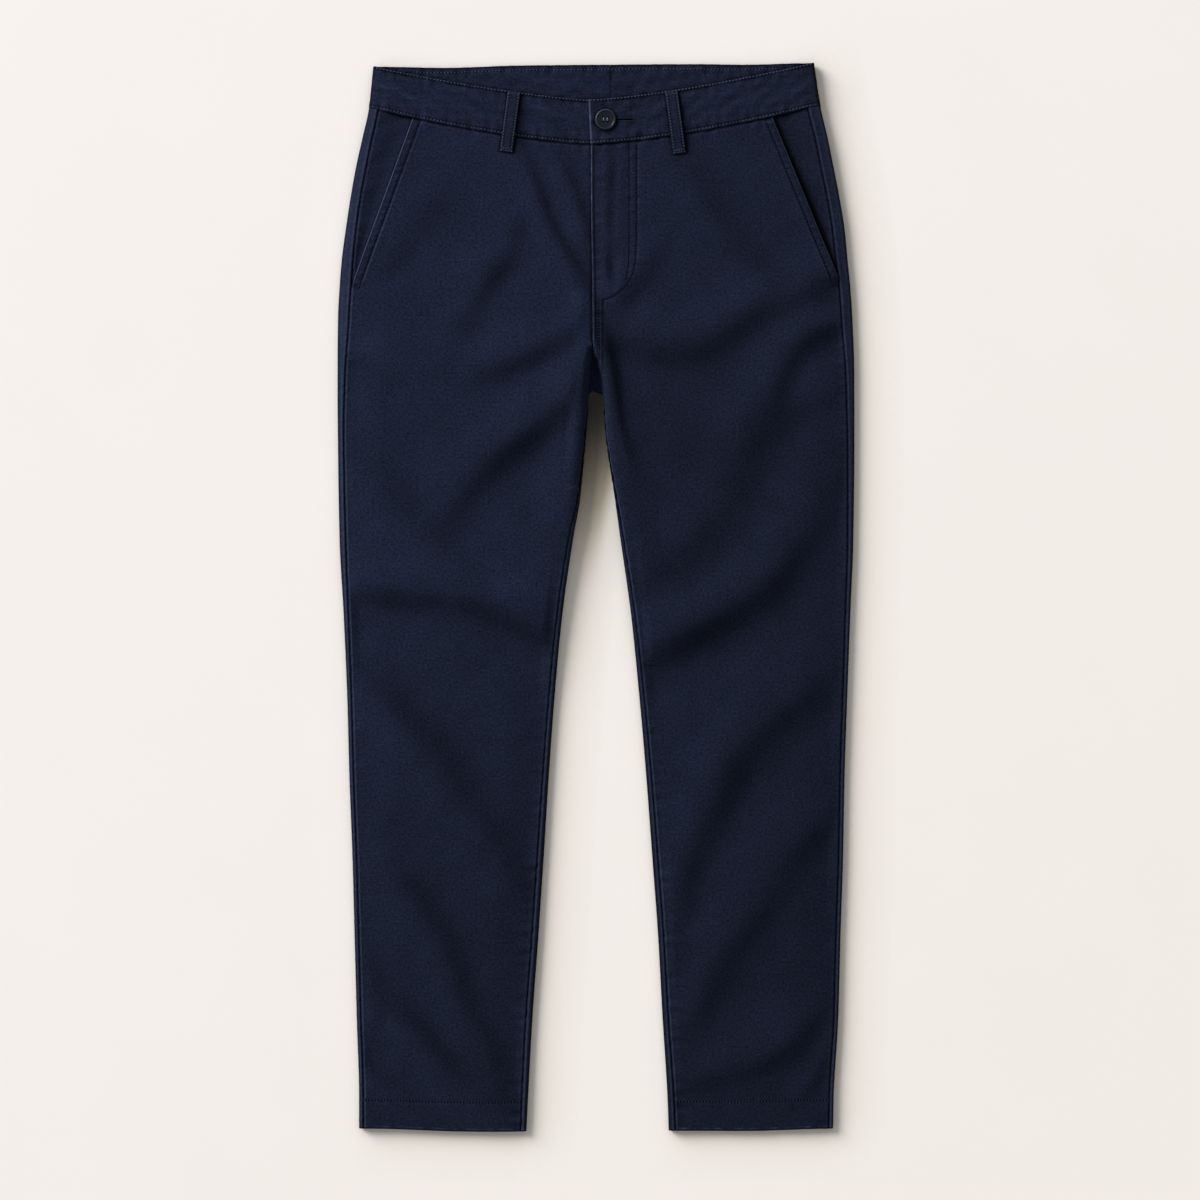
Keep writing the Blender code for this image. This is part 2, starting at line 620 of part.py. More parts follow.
def make_facing(side):
    """The pocket facing: it shows between the mouth and the side seam, and reaches in under the front."""
    out = side_sign(side)
    rows = []
    for height in np.linspace(y_to_height(MOUTHS[side][3]) - FACING_BELOW, WAIST_SEAM, FACING_ROWS):
        inset = float(follow(OUTSEAM, OUTSEAM_COLUMNS, side + "_inset", height))
        seam = float(np.abs(outer_x(side, height))) - inset - SEAM_GAP
        mouth = seam
        for _ in range(6):
            mouth = float(mouth_x(side, row_y(out * mouth, height, True)))
        mouth = min(mouth, seam)
        shown = seam - mouth
        x = np.concatenate([[mouth - FACING_UNDERLAP], np.linspace(mouth - 0.5, seam, FACING_STEPS)])
        level = ease((x - mouth) / max(shown, 1.0)) * ease(shown / FACING_LEVEL)
        y = row_y(out * x, height, True)
        z = top_z(side, out * x, height, y) - FACING_DROP * (1 - level)
        rows.append(np.stack([out * x, y, z], axis=1))
    points = np.stack(rows)
    sewn_piece("pocket_facing_" + side, side, points, normals(points), CLOTH)


def waist_top_z(side, x):
    """Height of the front panels' outer face along the waist seam."""
    return top_z(side, x, WAIST_SEAM, row_y(x, WAIST_SEAM, True))


def band_point(side, x, z, share, on_top):
    """A point of the waistband's outer face: share runs from its lower edge, 0, to its upper edge, 1."""
    low = WAIST_SEAM + SEAM_GAP + seam_shift(x, on_top)
    high = BAND_EDGE + edge_shift(x, on_top)
    return np.stack([x, y_of(low + share * (high - low)), z], axis=1)


def band_grid(side):
    """One half of the waistband: from the centre front, round the side fold, to the centre back."""
    out = side_sign(side)
    rows = []
    for share in np.linspace(0.0, 1.0, BAND_ROWS):
        height = WAIST_SEAM + share * (BAND_EDGE - WAIST_SEAM)
        outer = float(outer_x(side, height)) + out * BAND_PROUD
        fold = outer - out * (SIDE_ROUND + BAND_PROUD)
        if side == "left":
            start = BAND_START - 2.0 * share
            near = np.array([start, 6.0, 16.0, 27.0, 36.0])
        else:
            start = CENTRE_X + BAND_UNDERLAP
            near = np.array([start, 10.0, CENTRE_X, -16.0, -29.0, -39.0])
        x = np.concatenate([near, np.linspace(near[-1], fold, BAND_STEPS)[1:]])
        z = waist_top_z(side, x) + BAND_PROUD + fly_shift(side, x, BAND_UNDERLAP, BAND_SPLIT)
        high, low = z[-1], float(loft("underside", height)) - BAND_PROUD
        angles = np.linspace(np.pi / 2, -np.pi / 2, BAND_TURN)[1:-1]
        turn_x = fold + (outer - fold) * np.cos(angles)
        turn_z = (high + low) / 2 + (high - low) / 2 * np.sin(angles)
        back_x = np.linspace(fold, back_centre_x(height) + out * SEAM_GAP / 2, BAND_BACK)
        on_top = np.concatenate([np.ones(len(x), bool), angles > 0, np.zeros(len(back_x), bool)])
        x = np.concatenate([x, turn_x, back_x])
        z = np.concatenate([z, turn_z, np.full(len(back_x), low)])
        rows.append(band_point(side, x, z, share, on_top))
    return np.stack(rows)


def make_waistband(side):
    points = band_grid(side)
    sewn_piece("waistband_" + side, side, points, normals(points), BAND_CLOTH)


def make_hem(side):
    """The turned-up hem: a second layer inside the leg's end, all the way round."""
    rows = []
    for height in (0.0, HEM_HEIGHT / 2, HEM_HEIGHT):
        front, back, wrap, flat = section(side, height)
        front, back = sampled_front(front), sampled_back(back, wrap, flat)
        seam_out = (front[-1] + back[0]) / 2
        seam_in = (front[0] + back[-1]) / 2
        rows.append(np.concatenate([[seam_in], front[1:-1], [seam_out], back[1:-1]]))
    points = np.stack(rows)
    normal = normals(points, closed=True)
    sewn_piece("hem_" + side, side, points, normal, HEM_CLOTH, CLOTH + SEAM_GAP, closed=True)


def make_front_loop(name, upper, lower):
    """A belt loop on the front: it lies over the waistband and is sewn down below it."""
    side = "right" if name.endswith("right") else "left"
    upper, lower = np.array(upper), np.array(lower)
    direction = (lower - upper) / np.linalg.norm(lower - upper)
    across = np.array([0.5, 0.0, -0.5]) * LOOP_WIDTH
    rows = []
    for share in LOOP_SHARES:
        centre = upper + share * (lower - upper)
        x = centre[0] + across * direction[1]
        y = centre[1] - across * direction[0]
        height = np.clip(y_to_height(y) - seam_shift(x, True), 0.0, WAIST_SEAM)
        z = top_z(side, x, height, np.minimum(y, row_y(x, WAIST_SEAM, True))) + SEAM_GAP
        z += BAND_PROUD * (1 - ease((share - LOOP_STEP) / LOOP_STEP_RUN)) + LOOP_BOW * np.sin(np.pi * share)
        rows.append(np.stack([x, y, z], axis=1))
    points = np.stack(rows)
    normal = normals(points)
    cloth(name, points + normal * LOOP_CLOTH, points)


def make_back_loop(name, x):
    """A belt loop on the back: a flat strip between the table and the waistband."""
    top = y_of(BAND_EDGE) + float(edge_shift(x, False)) - BACK_LOOP_IN
    rows = []
    for y in (top - BACK_LOOP_LENGTH, top - BACK_LOOP_LENGTH / 2, top):
        rows.append([(x + LOOP_WIDTH / 2, y, 0.0), (x - LOOP_WIDTH / 2, y, 0.0)])
    points = np.array(rows)
    cloth(name, points, points + np.array([0.0, 0.0, LOOP_CLOTH]))


def make_button():
    """A four-hole button: its profile turned round its axis, with the thread holes cut through."""
    x, y = BUTTON_AT
    base = float(waist_top_z("left", np.array([x]))[0]) + BAND_PROUD + BAND_SPLIT + SEAM_GAP
    angles = np.linspace(0.0, 2 * np.pi, BUTTON_SEGMENTS, endpoint=False)
    points = [(0.0, 0.0, BUTTON_PROFILE[0][1])]
    for share, z in BUTTON_PROFILE[1:-1]:
        r = share * BUTTON_RADIUS
        points += [(r * np.cos(a), r * np.sin(a), z) for a in angles]
    points.append((0.0, 0.0, BUTTON_PROFILE[-1][1]))
    rings = len(BUTTON_PROFILE) - 2
    faces = grid_faces(rings, BUTTON_SEGMENTS, closed=True, start=1)
    last = len(points) - 1
    top_ring = 1 + (rings - 1) * BUTTON_SEGMENTS
    for k in range(BUTTON_SEGMENTS):
        n = (k + 1) % BUTTON_SEGMENTS
        faces.append((0, 1 + n, 1 + k))
        faces.append((last, top_ring + k, top_ring + n))
    button = make_object("button", points, faces, colour=NAVY_BUTTON, roughness=0.35)
    button.location = (x * MM, y * MM, base * MM)
    for i, j in ((-1, -1), (-1, 1), (1, -1), (1, 1)):
        shape = bmesh.new()
        bmesh.ops.create_cone(
            shape,
            cap_ends=True,
            segments=THREAD_HOLE_SEGMENTS,
            radius1=THREAD_HOLE_RADIUS * MM,
            radius2=THREAD_HOLE_RADIUS * MM,
            depth=THREAD_HOLE_DEPTH * MM,
        )
        mesh = bpy.data.meshes.new("thread_hole")
        shape.to_mesh(mesh)
        shape.free()
        hole = bpy.data.objects.new("thread_hole", mesh)
        bpy.context.scene.collection.objects.link(hole)
        hole.location = ((x + i * THREAD_HOLE_OFFSET) * MM, (y + j * THREAD_HOLE_OFFSET) * MM, base * MM)
        hole.hide_render = True
        hole.display_type = "WIRE"
        cut = button.modifiers.new("thread_hole", "BOOLEAN")
        cut.object = hole
        cut.operation = "DIFFERENCE"
        cut.solver = "EXACT"


def main():
    for obj in list(bpy.data.objects):
        bpy.data.objects.remove(obj)
    for side in ("right", "left"):
        make_panels(side)
        make_facing(side)
        make_waistband(side)
        make_hem(side)
    for name, upper, lower in FRONT_LOOPS:
        make_front_loop(name, upper, lower)
    for name, x in BACK_LOOPS:
        make_back_loop(name, x)
    make_button()


main()
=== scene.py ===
"""Chino trousers of navy cotton twill, laid flat on a pale table with the front side up.

Sizes are in millimetres and become metres where a mesh is made. +X is the wearer's left, +Y runs up the
trousers to the waist and +Z away from the table. Each leg is a flattened tube: its front panel lies on top,
and its back panel lies on the table, wraps round both sides and meets the front a few millimetres in from
each side.
"""

import bpy
import numpy as np
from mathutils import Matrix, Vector
from mathutils.bvhtree import BVHTree


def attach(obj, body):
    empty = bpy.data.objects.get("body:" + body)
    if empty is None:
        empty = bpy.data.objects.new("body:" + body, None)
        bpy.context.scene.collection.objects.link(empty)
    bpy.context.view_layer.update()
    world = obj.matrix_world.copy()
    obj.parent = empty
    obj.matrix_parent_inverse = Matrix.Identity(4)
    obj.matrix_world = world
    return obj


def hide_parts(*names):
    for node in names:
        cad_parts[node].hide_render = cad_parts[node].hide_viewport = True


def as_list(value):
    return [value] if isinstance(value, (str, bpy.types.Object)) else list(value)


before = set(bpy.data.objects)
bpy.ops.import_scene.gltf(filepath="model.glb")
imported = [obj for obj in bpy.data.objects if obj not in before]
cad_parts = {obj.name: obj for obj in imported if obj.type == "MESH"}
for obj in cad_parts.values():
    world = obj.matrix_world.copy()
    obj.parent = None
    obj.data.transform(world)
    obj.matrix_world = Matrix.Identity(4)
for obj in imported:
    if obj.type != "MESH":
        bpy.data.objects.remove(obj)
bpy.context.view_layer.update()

MM = 0.001

# ---- the cut

LENGTH = 1030.0  # hem to the top of the back waistband
CENTRE_X = -3.0  # the fly's folded edge
BACK_LEAN = 17.0  # how far the centre back seam strays to the left by the waist
CROTCH = 751.0  # height above the hem at which the fronts meet
BACK_CROTCH = 710.0  # height at which the backs meet
WAIST_SEAM = 987.0
CLOTH = 1.2  # thickness, as in the other names that end in cloth
SEAM_GAP = 0.08
CENTRE_GAP = -0.06  # at the centre back seam, whose rims then nearly touch
SIDE_ROUND = 3.3  # radius of the waistband's fold at the side

# Each side's edge, and how far in from it the front meets the back
SEAM_COLUMNS = ("height", "right_x", "left_x", "right_inset", "left_inset")
OUTSEAM = (
    (0.0, -228.2, 228.5, 4.0, 4.0),
    (30.0, -228.2, 229.0, 4.0, 4.0),
    (110.0, -230.5, 233.5, 4.0, 4.0),
    (185.0, -232.5, 235.5, 4.0, 4.0),
    (260.0, -234.5, 238.0, 4.0, 4.0),
    (340.0, -237.5, 239.5, 4.0, 4.0),
    (415.0, -239.5, 242.0, 4.0, 4.0),
    (495.0, -243.0, 245.0, 4.6, 4.5),
    (570.0, -247.0, 248.0, 5.9, 5.3),
    (665.0, -248.6, 249.0, 5.6, 6.4),
    (725.0, -249.0, 249.0, 7.1, 7.9),
    (785.0, -248.5, 247.0, 10.6, 10.4),
    (815.0, -247.0, 245.0, 11.1, 10.6),
    (840.0, -245.0, 242.5, 10.8, 11.2),
    (870.0, -241.0, 239.5, 10.0, 11.6),
    (900.0, -236.5, 234.5, 9.7, 11.6),
    (930.0, -231.0, 228.5, 9.8, 12.0),
    (957.0, -225.0, 223.0, 9.1, 12.0),
    (987.0, -218.5, 216.0, 8.7, 12.0),
    (1030.0, -214.0, 209.5, 8.7, 12.0),
)
INSEAM = (
    (0.0, -67.5, 70.5, 5.0, 6.0),
    (30.0, -66.0, 69.5, 5.3, 5.8),
    (110.0, -61.5, 64.5, 5.8, 5.3),
    (185.0, -56.0, 60.5, 5.8, 5.0),
    (260.0, -51.0, 55.0, 5.6, 5.0),
    (340.0, -46.0, 49.0, 5.2, 4.7),
    (415.0, -40.5, 42.5, 5.0, 4.3),
    (495.0, -33.0, 34.5, 4.6, 3.4),
    (570.0, -22.5, 24.0, 3.9, 2.6),
    (610.0, -15.5, 18.5, 2.0, 1.4),
    (665.0, -10.5, 10.5, 0.5, 0.4),
    (705.0, -7.5, 7.0, 0.0, 0.0),
    (730.0, -6.0, 4.5, 0.0, 0.0),
    (743.0, -5.0, 1.5, 0.0, 0.0),
    (CROTCH, CENTRE_X, CENTRE_X, 0.0, 0.0),
)
# How high a leg's underside lies, its top near both edges and in its middle, and the least that may be;
# then the width of its rounded edges
LOFT_COLUMNS = (
    "height",
    "underside",
    "side_top",
    "inner_top",
    "middle",
    "least",
    "side_round",
    "inner_round",
)
LOFT = (
    (0.0, 0.0, 6.4, 6.4, 6.2, 5.4, 3.3, 3.3),
    (34.0, 0.0, 6.6, 6.6, 7.2, 5.3, 4.0, 4.0),
    (75.0, 0.0, 6.6, 6.6, 9.0, 2.9, 5.0, 5.0),
    (400.0, 0.0, 6.8, 7.2, 9.6, 2.9, 5.5, 6.5),
    (500.0, 0.0, 6.9, 11.0, 10.0, 2.9, 5.5, 7.5),
    (600.0, 0.0, 7.0, 15.5, 10.8, 2.9, 5.5, 9.0),
    (700.0, 0.0, 7.2, 17.0, 11.8, 2.9, 5.5, 9.0),
    (770.0, 0.0, 7.4, 15.0, 11.0, 3.6, 5.5, 6.0),
    (820.0, 0.0, 7.6, 12.6, 9.8, 4.9, 5.0, 3.3),
    (885.0, 0.0, 7.8, 11.2, 8.9, 5.0, 4.0, 3.3),
    (950.0, 2.4, 8.9, 11.2, 8.3, 7.3, 3.3, 3.3),
    (987.0, 2.4, 9.2, 11.2, 7.9, 7.6, 3.3, 3.3),
    (1030.0, 2.4, 9.2, 11.2, 7.9, 7.6, 3.3, 3.3),
)
MIDDLE_RUN = 40.0  # from a rounded edge to where the middle's height is reached
SEAM_LOW = CLOTH + SEAM_GAP + 0.1  # height of the inseam's middle above the back's crotch
SEAM_LOWERING = 30.0  # height over which it comes down to that
LEAST_ROUND = 0.5
FOLD_FADE = 10.0  # from a rounded edge to where the creases are at their full height
FOLD_END = 0.26  # how far a crease fades out past its ends, as a share of its length
CROTCH_TURN = 7.0  # height over which the legs' rounded edges flatten above the crotch
BACK_JOINING = 4.0  # height over which the backs come together
CROTCH_RISE = 90.0  # height over which the inner edges come down above the crotch

WAIST_HALF = 216.0
SEAM_DIP = 36.0  # how far the front's waist seam dips at the centre
SEAM_DIP_POWER = 1.47
EDGE_DIP = 34.3  # how far the waistband's upper edge does
EDGE_DIP_POWER = 1.35
BAND_EDGE = 1028.25
BAND_CLOTH = 2.4
BAND_PROUD = 0.6
SEAM_TILT = 0.75  # how much higher the waist seam lies at the left side, and lower at the right
EDGE_TILT = 1.75
DIP_START = 800.0  # height from which the front's rows bend with the waist

FLY_BOTTOM = 16.0  # from the crotch up to where the overlap starts
FLY_UNDERLAP = 12.0
FLY_SPLIT = 0.8  # how far the overlapping fronts part, each way
FLY_EASE = 22.0
FLY_OPENING = 24.0  # height over which the overlap widens
BAND_START = -5.2
BAND_SLANT = 2.0  # how much further over its end reaches at the top
BAND_UNDERLAP = 26.0
BAND_SPLIT = 1.4

# A slanted pocket mouth's ends: x and y of the upper one, then of the lower one
MOUTHS = {
    "right": (176.2, 462.5, 235.5, 300.0),
    "left": (170.2, 462.0, 235.0, 303.0),
}
FACING_UNDERLAP = 16.0
FACING_BELOW = 6.0  # how far it reaches down past the mouth
FACING_DROP = CLOTH + SEAM_GAP
FACING_LEVEL = 14.0  # width at which its outer edge is level with the panels
FACING_SAG = 1.8  # how far it hangs below the panels in its middle

HEM_HEIGHT = 30.0
HEM_CLOTH = 1.0
HEM_LIFT = 2.0  # how much higher the hem lies at the sides
HEM_LIFT_HEIGHT = 82.5  # height up to which the rows follow it
HEM_STITCH = 28.2

LOOP_WIDTH = 12.6
LOOP_CLOTH = 1.5
LOOP_FULL = 0.5  # its rolled layers, thicker than pressed flat
LOOP_BOW = 1.9  # how far a loop stands off the waistband in its middle
FRONT_LOOPS = (
    ("loop_front_right", (-79.0, 486.0), (-86.5, 428.5)),
    ("loop_front_left", (72.5, 486.0), (80.5, 427.0)),
)
BACK_LOOPS = (
    ("loop_back_right", -124.0),
    ("loop_back_centre", CENTRE_X + BACK_LEAN),
    ("loop_back_left", 126.0),
)
BACK_LOOP_LENGTH = 61.0

BUTTON_AT = (9.2, 459.5)
BUTTON_RADIUS = 10.1

# ---- creases

# Each crease: x and y of its start, x and y of its end, bow, rise, steep width, gentle width, tone and lean.
# There the cloth drops by twice the rise, from the left of the line to its right, over twice the steep width,
# and levels out again over the gentle width. The line bows sideways in its middle. Tone is how much painted
# shade lies along the drop, with half as much painted light past the crest on its left, and lean how much
# stronger the crease is at its start than halfway.
FOLDS = (
    # right leg
    (-112.0, 207.0, -4.0, 262.0, 2.0, 2.2, 13.0, 22.0, 0.2, 0.0),
    (-133.0, 79.0, -11.0, 198.0, -5.0, 3.7, 16.0, 28.0, 0.22, 0.0),
    (-241.0, 230.0, -189.0, 201.0, -4.0, 1.2, 9.0, 16.0, 0.15, 0.0),
    (-112.0, 17.0, -230.0, 145.0, -1.0, 1.6, 17.0, 26.0, 0.11, 0.0),
    (-243.0, 0.0, -42.0, -46.0, -14.0, 4.1, 15.0, 34.0, 0.22, -0.35),
    (-69.0, -268.0, -205.0, -84.0, 4.0, 1.9, 17.0, 28.0, 0.24, -0.15),
    (-85.0, -470.0, -193.0, -248.0, 7.0, 1.8, 14.0, 24.0, 0.22, 0.15),
    (-91.0, -482.0, -205.0, -380.0, -7.0, 1.8, 12.0, 20.0, 0.25, 0.1),
    (-176.0, -479.0, -228.0, -438.0, -5.0, 1.2, 9.0, 14.0, 0.2, 0.0),
    (-214.0, -427.0, -222.0, -325.0, 8.0, 0.5, 10.0, 14.0, 0.08, 0.0),
    # left leg
    (34.0, 138.0, 6.0, 255.0, 0.0, 3.4, 8.0, 18.0, 0.35, -0.15),
    (4.0, 247.0, 156.0, 272.0, 28.0, 2.3, 17.0, 26.0, 0.21, 0.1),
    (139.0, 260.0, 237.0, 301.0, -4.0, 1.8, 15.0, 22.0, 0.2, 0.0),
    (174.0, 191.0, 242.0, 261.0, -13.0, 3.0, 13.0, 24.0, 0.25, -0.15),
    (133.0, 85.0, 181.0, 196.0, -3.0, 2.0, 20.0, 28.0, 0.18, 0.0),
    (176.0, 141.0, 239.0, 207.0, -5.0, 0.7, 12.0, 20.0, 0.08, 0.0),
    (39.0, -6.0, 137.0, 68.0, -5.0, 2.0, 24.0, 28.0, 0.18, 0.0),
    (40.0, -64.0, 232.0, 98.0, 29.0, 4.2, 19.0, 34.0, 0.28, 0.4),
    (100.0, -248.0, 234.0, -76.0, -17.0, 2.7, 19.0, 30.0, 0.24, 0.25),
    (75.0, -378.0, 104.0, -238.0, -5.0, 1.4, 14.0, 18.0, 0.17, 0.0),
    (92.0, -428.0, 236.0, -214.0, -12.0, 2.2, 18.0, 30.0, 0.2, 0.25),
    (76.0, -478.0, 228.0, -392.0, 21.0, 1.8, 14.0, 24.0, 0.18, 0.1),
    (197.0, -481.0, 232.0, -434.0, 3.0, 1.0, 8.0, 12.0, 0.2, 0.0),
    # seat and fly
    (-2.0, 276.0, -68.0, 427.0, 1.0, 2.0, 7.0, 14.0, 0.28, 0.0),
    (0.0, 345.0, -41.0, 430.0, 2.0, 1.2, 7.0, 12.0, 0.18, 0.0),
    (-95.0, 305.0, -68.0, 376.0, 5.0, 1.1, 10.0, 16.0, 0.14, 0.0),
    (-131.0, 247.0, -93.0, 324.0, -2.0, 1.1, 12.0, 20.0, 0.15, 0.0),
    (-199.0, 318.0, -141.0, 386.0, -1.0, 1.2, 15.0, 24.0, 0.15, 0.0),
    (168.0, 312.0, 81.0, 425.0, 0.0, 1.4, 15.0, 28.0, 0.16, 0.0),
    (17.0, 276.0, 69.0, 340.0, 3.0, 1.0, 10.0, 14.0, 0.15, 0.0),
)
FOLD_UNEVEN = 0.14  # how much a crease's strength varies along it
FOLD_WANDER = 2.0  # how far its line strays from its bow

# Patches of painted shade: x and y of their middle, their half width and length, and the tone
PAINTED_SHADE_PATCHES = (
    (105.0, 155.0, 100.0, 110.0, -0.18),
    (195.0, -140.0, 55.0, 60.0, -0.09),
    (190.0, -310.0, 50.0, 80.0, -0.11),
    (150.0, -30.0, 100.0, 90.0, -0.07),
    (-150.0, -300.0, 110.0, 170.0, -0.09),
    (140.0, 350.0, 100.0, 80.0, -0.06),
)

# ---- sewing

POCKET_STITCH_IN = 7.6  # from a pocket's mouth to its topstitch
POCKET_STITCH_ON = 1.0  # how far the topstitch is shifted down along the mouth
STITCH_PITCH = 3.3
STITCH_LENGTH = 2.3
STITCH_DIP = 0.55  # how far a stitch dips in at its ends
LOOK_AHEAD = 0.8  # half the step from which a stitch takes its way
THREAD_RADIUS = 0.38
BEAD_SIDES = 6
BEAD_RINGS = np.array([(-1.0, 0.5), (-0.72, 0.95), (0.0, 1.05), (0.72, 0.95), (1.0, 0.5)])  # place, thickness
HOLE_SIZE = (1.7, 0.6)  # a needle hole's length and radius
BUTTONHOLE_REACH = 26.0  # from the button's middle to the end of the slit
SLIT_ENDS = (BUTTON_AT[0] + BUTTON_RADIUS - 1.0, BUTTON_AT[0] + BUTTONHOLE_REACH)
SLIT_EDGE = 1.5
BAR_STITCH = (1.7, 1.5)  # the pitch and length of a bar tack's stitches
BAR_RADIUS = 0.34
BAR_HALF = 5.2
BAND_TOP_STITCH = 1.0
BAND_LOW_STITCH = 2.2
BAND_STITCH_ENDS = {"right": (CENTRE_X - 4.0, -213.0), "left": (BAND_START + 2.0, 209.0)}
INNER_BAND_STITCH = 4.6
LOOP_STITCH = 1.5
FLY_STITCH_OUTER = (
    (38.6, 437.0),
    (38.7, 345.0),
    (38.0, 325.0),
    (35.4, 311.0),
    (28.0, 298.5),
    (17.0, 289.5),
    (7.0, 285.5),
)
FLY_STITCH_INNER = ((31.8, 438.0), (31.9, 345.0), (31.6, 329.0), (30.8, 316.0), (28.6, 306.0))
FLY_BAR_TOP = 286.6
CROTCH_SEAM = ((0.6, 281.0), (0.9, 246.0), (1.6, 226.0)), ((2.6, 281.0), (2.8, 246.0), (3.2, 228.0))
CROTCH_STRIP_EDGE = 5.4
FLY_LEAN = 1.9  # how much further right the fly's edge lies at the waist than at the crotch
SEAM_WEAR_AND_HIGHLIGHT = {"right": (0.25, 0.6), "left": (0.5, 0.12)}  # how pale a front's inseam and outseam are, from wear and a painted highlight
STRIP_WEAR_AND_HIGHLIGHT = {"right": 0.3, "left": 0.1}  # how pale the back's strip is that shows beside the front's outseam, from wear and a painted highlight
# how pale a pocket's mouth is along its edge, from wear and a painted highlight
MOUTH_WEAR_AND_HIGHLIGHT = {"right": 1.0, "left": 0.75}
BAND_END_PAINTED_SHADING = {"right": 0.08, "left": -0.12}  # painted light and shade at the waistband's sides: how pale it is there, paler at the right, darker at the left
PIPING_WEAR_AND_HIGHLIGHT = {"right": 0.65, "left": 0.3}  # how pale the cloth is just past a pocket's topstitch, from wear and a painted highlight
MOUTH_SHADE = {"right": (0.9, 1.3), "left": (1.15, 4.2)}  # how dark a facing is beside its mouth, and how far
FACING_SHADE = {"right": 0.0, "left": 0.1}  # how much painted shade lies over the whole facing
MOUTH_GAPE = {"right": 0.6, "left": 1.7}  # how far a pocket's mouth stands open
PIPING_FADE = 0.6  # how much of the piping's paleness is gone at its upper end
PIPING_RAISE = 0.5  # how far it stands out, from the mouth to the topstitch
LADDER_RELIEF = 0.12  # short puckers between a pocket's mouth and its topstitch
# painted light and shade on those puckers
LADDER_PAINTED_SHADING = 0.16
LOW_LEG_PUCKER = 1.3  # how much stronger the inseam's puckers are near the hem
HEM_RAISE = 0.35  # how far the turned hem stands out
ROPE_SLANT = 0.7  # how much its ripples lean
CLOTH_RIPPLE = 0.14
# painted shade where the facing sags
FACING_SAG_PAINTED_SHADE = 0.12
FLY_WIDTH = 39.0  # from x = 0 to the J's stem
FLY_CURVE = 80.0  # twice the radius of the J's foot
FLY_RAISE = 0.4
FLY_VALLEY = 1.1  # a shallow fold down the fly, which sways a little
# painted shade in that fold
FLY_VALLEY_PAINTED_SHADE = 0.3
FLY_SWAY = 1.5
FLY_SWAY_LENGTH = 31.0
STRIP_RAISE = 0.7  # the crotch's overlapping strip
RESTING = 2.0  # height up to which the table flattens the back's relief
# painted shade on the backs where they show between the legs
BACK_CROTCH_PAINTED_SHADE = 0.96
BAND_COCKLE = 0.3
# painted light and shade on the waistband's cockles
BAND_COCKLE_PAINTED_SHADING = 0.25
BAND_UNDER_RELIEF = 0.8  # how much of the waistband's relief is left on its back
UNDER_BUTTON = 0.7  # how far the button presses the waistband in

# ---- button

BUTTON_SUNK = 0.1  # how far it sinks into the waistband
HOLE_OFFSET = 2.1  # from the button's middle to each thread hole, both ways
HOLE_PROFILE = ((0.02, -0.3), (1.15, -0.3), (1.15, 0.0), (1.0, 0.04), (0.02, 0.02))
BUTTON_PROFILE = (
    (0.02, 0.0),
    (8.9, 0.0),
    (9.75, 0.35),
    (10.05, 0.8),
    (9.95, 1.4),
    (9.65, 1.95),
    (9.25, 2.4),
    (8.85, 2.62),
    (8.55, 2.62),
    (8.3, 2.4),
    (8.15, 2.1),
    (8.0, 1.88),
    (7.4, 1.78),
    (5.0, 1.7),
    (0.02, 1.66),
)
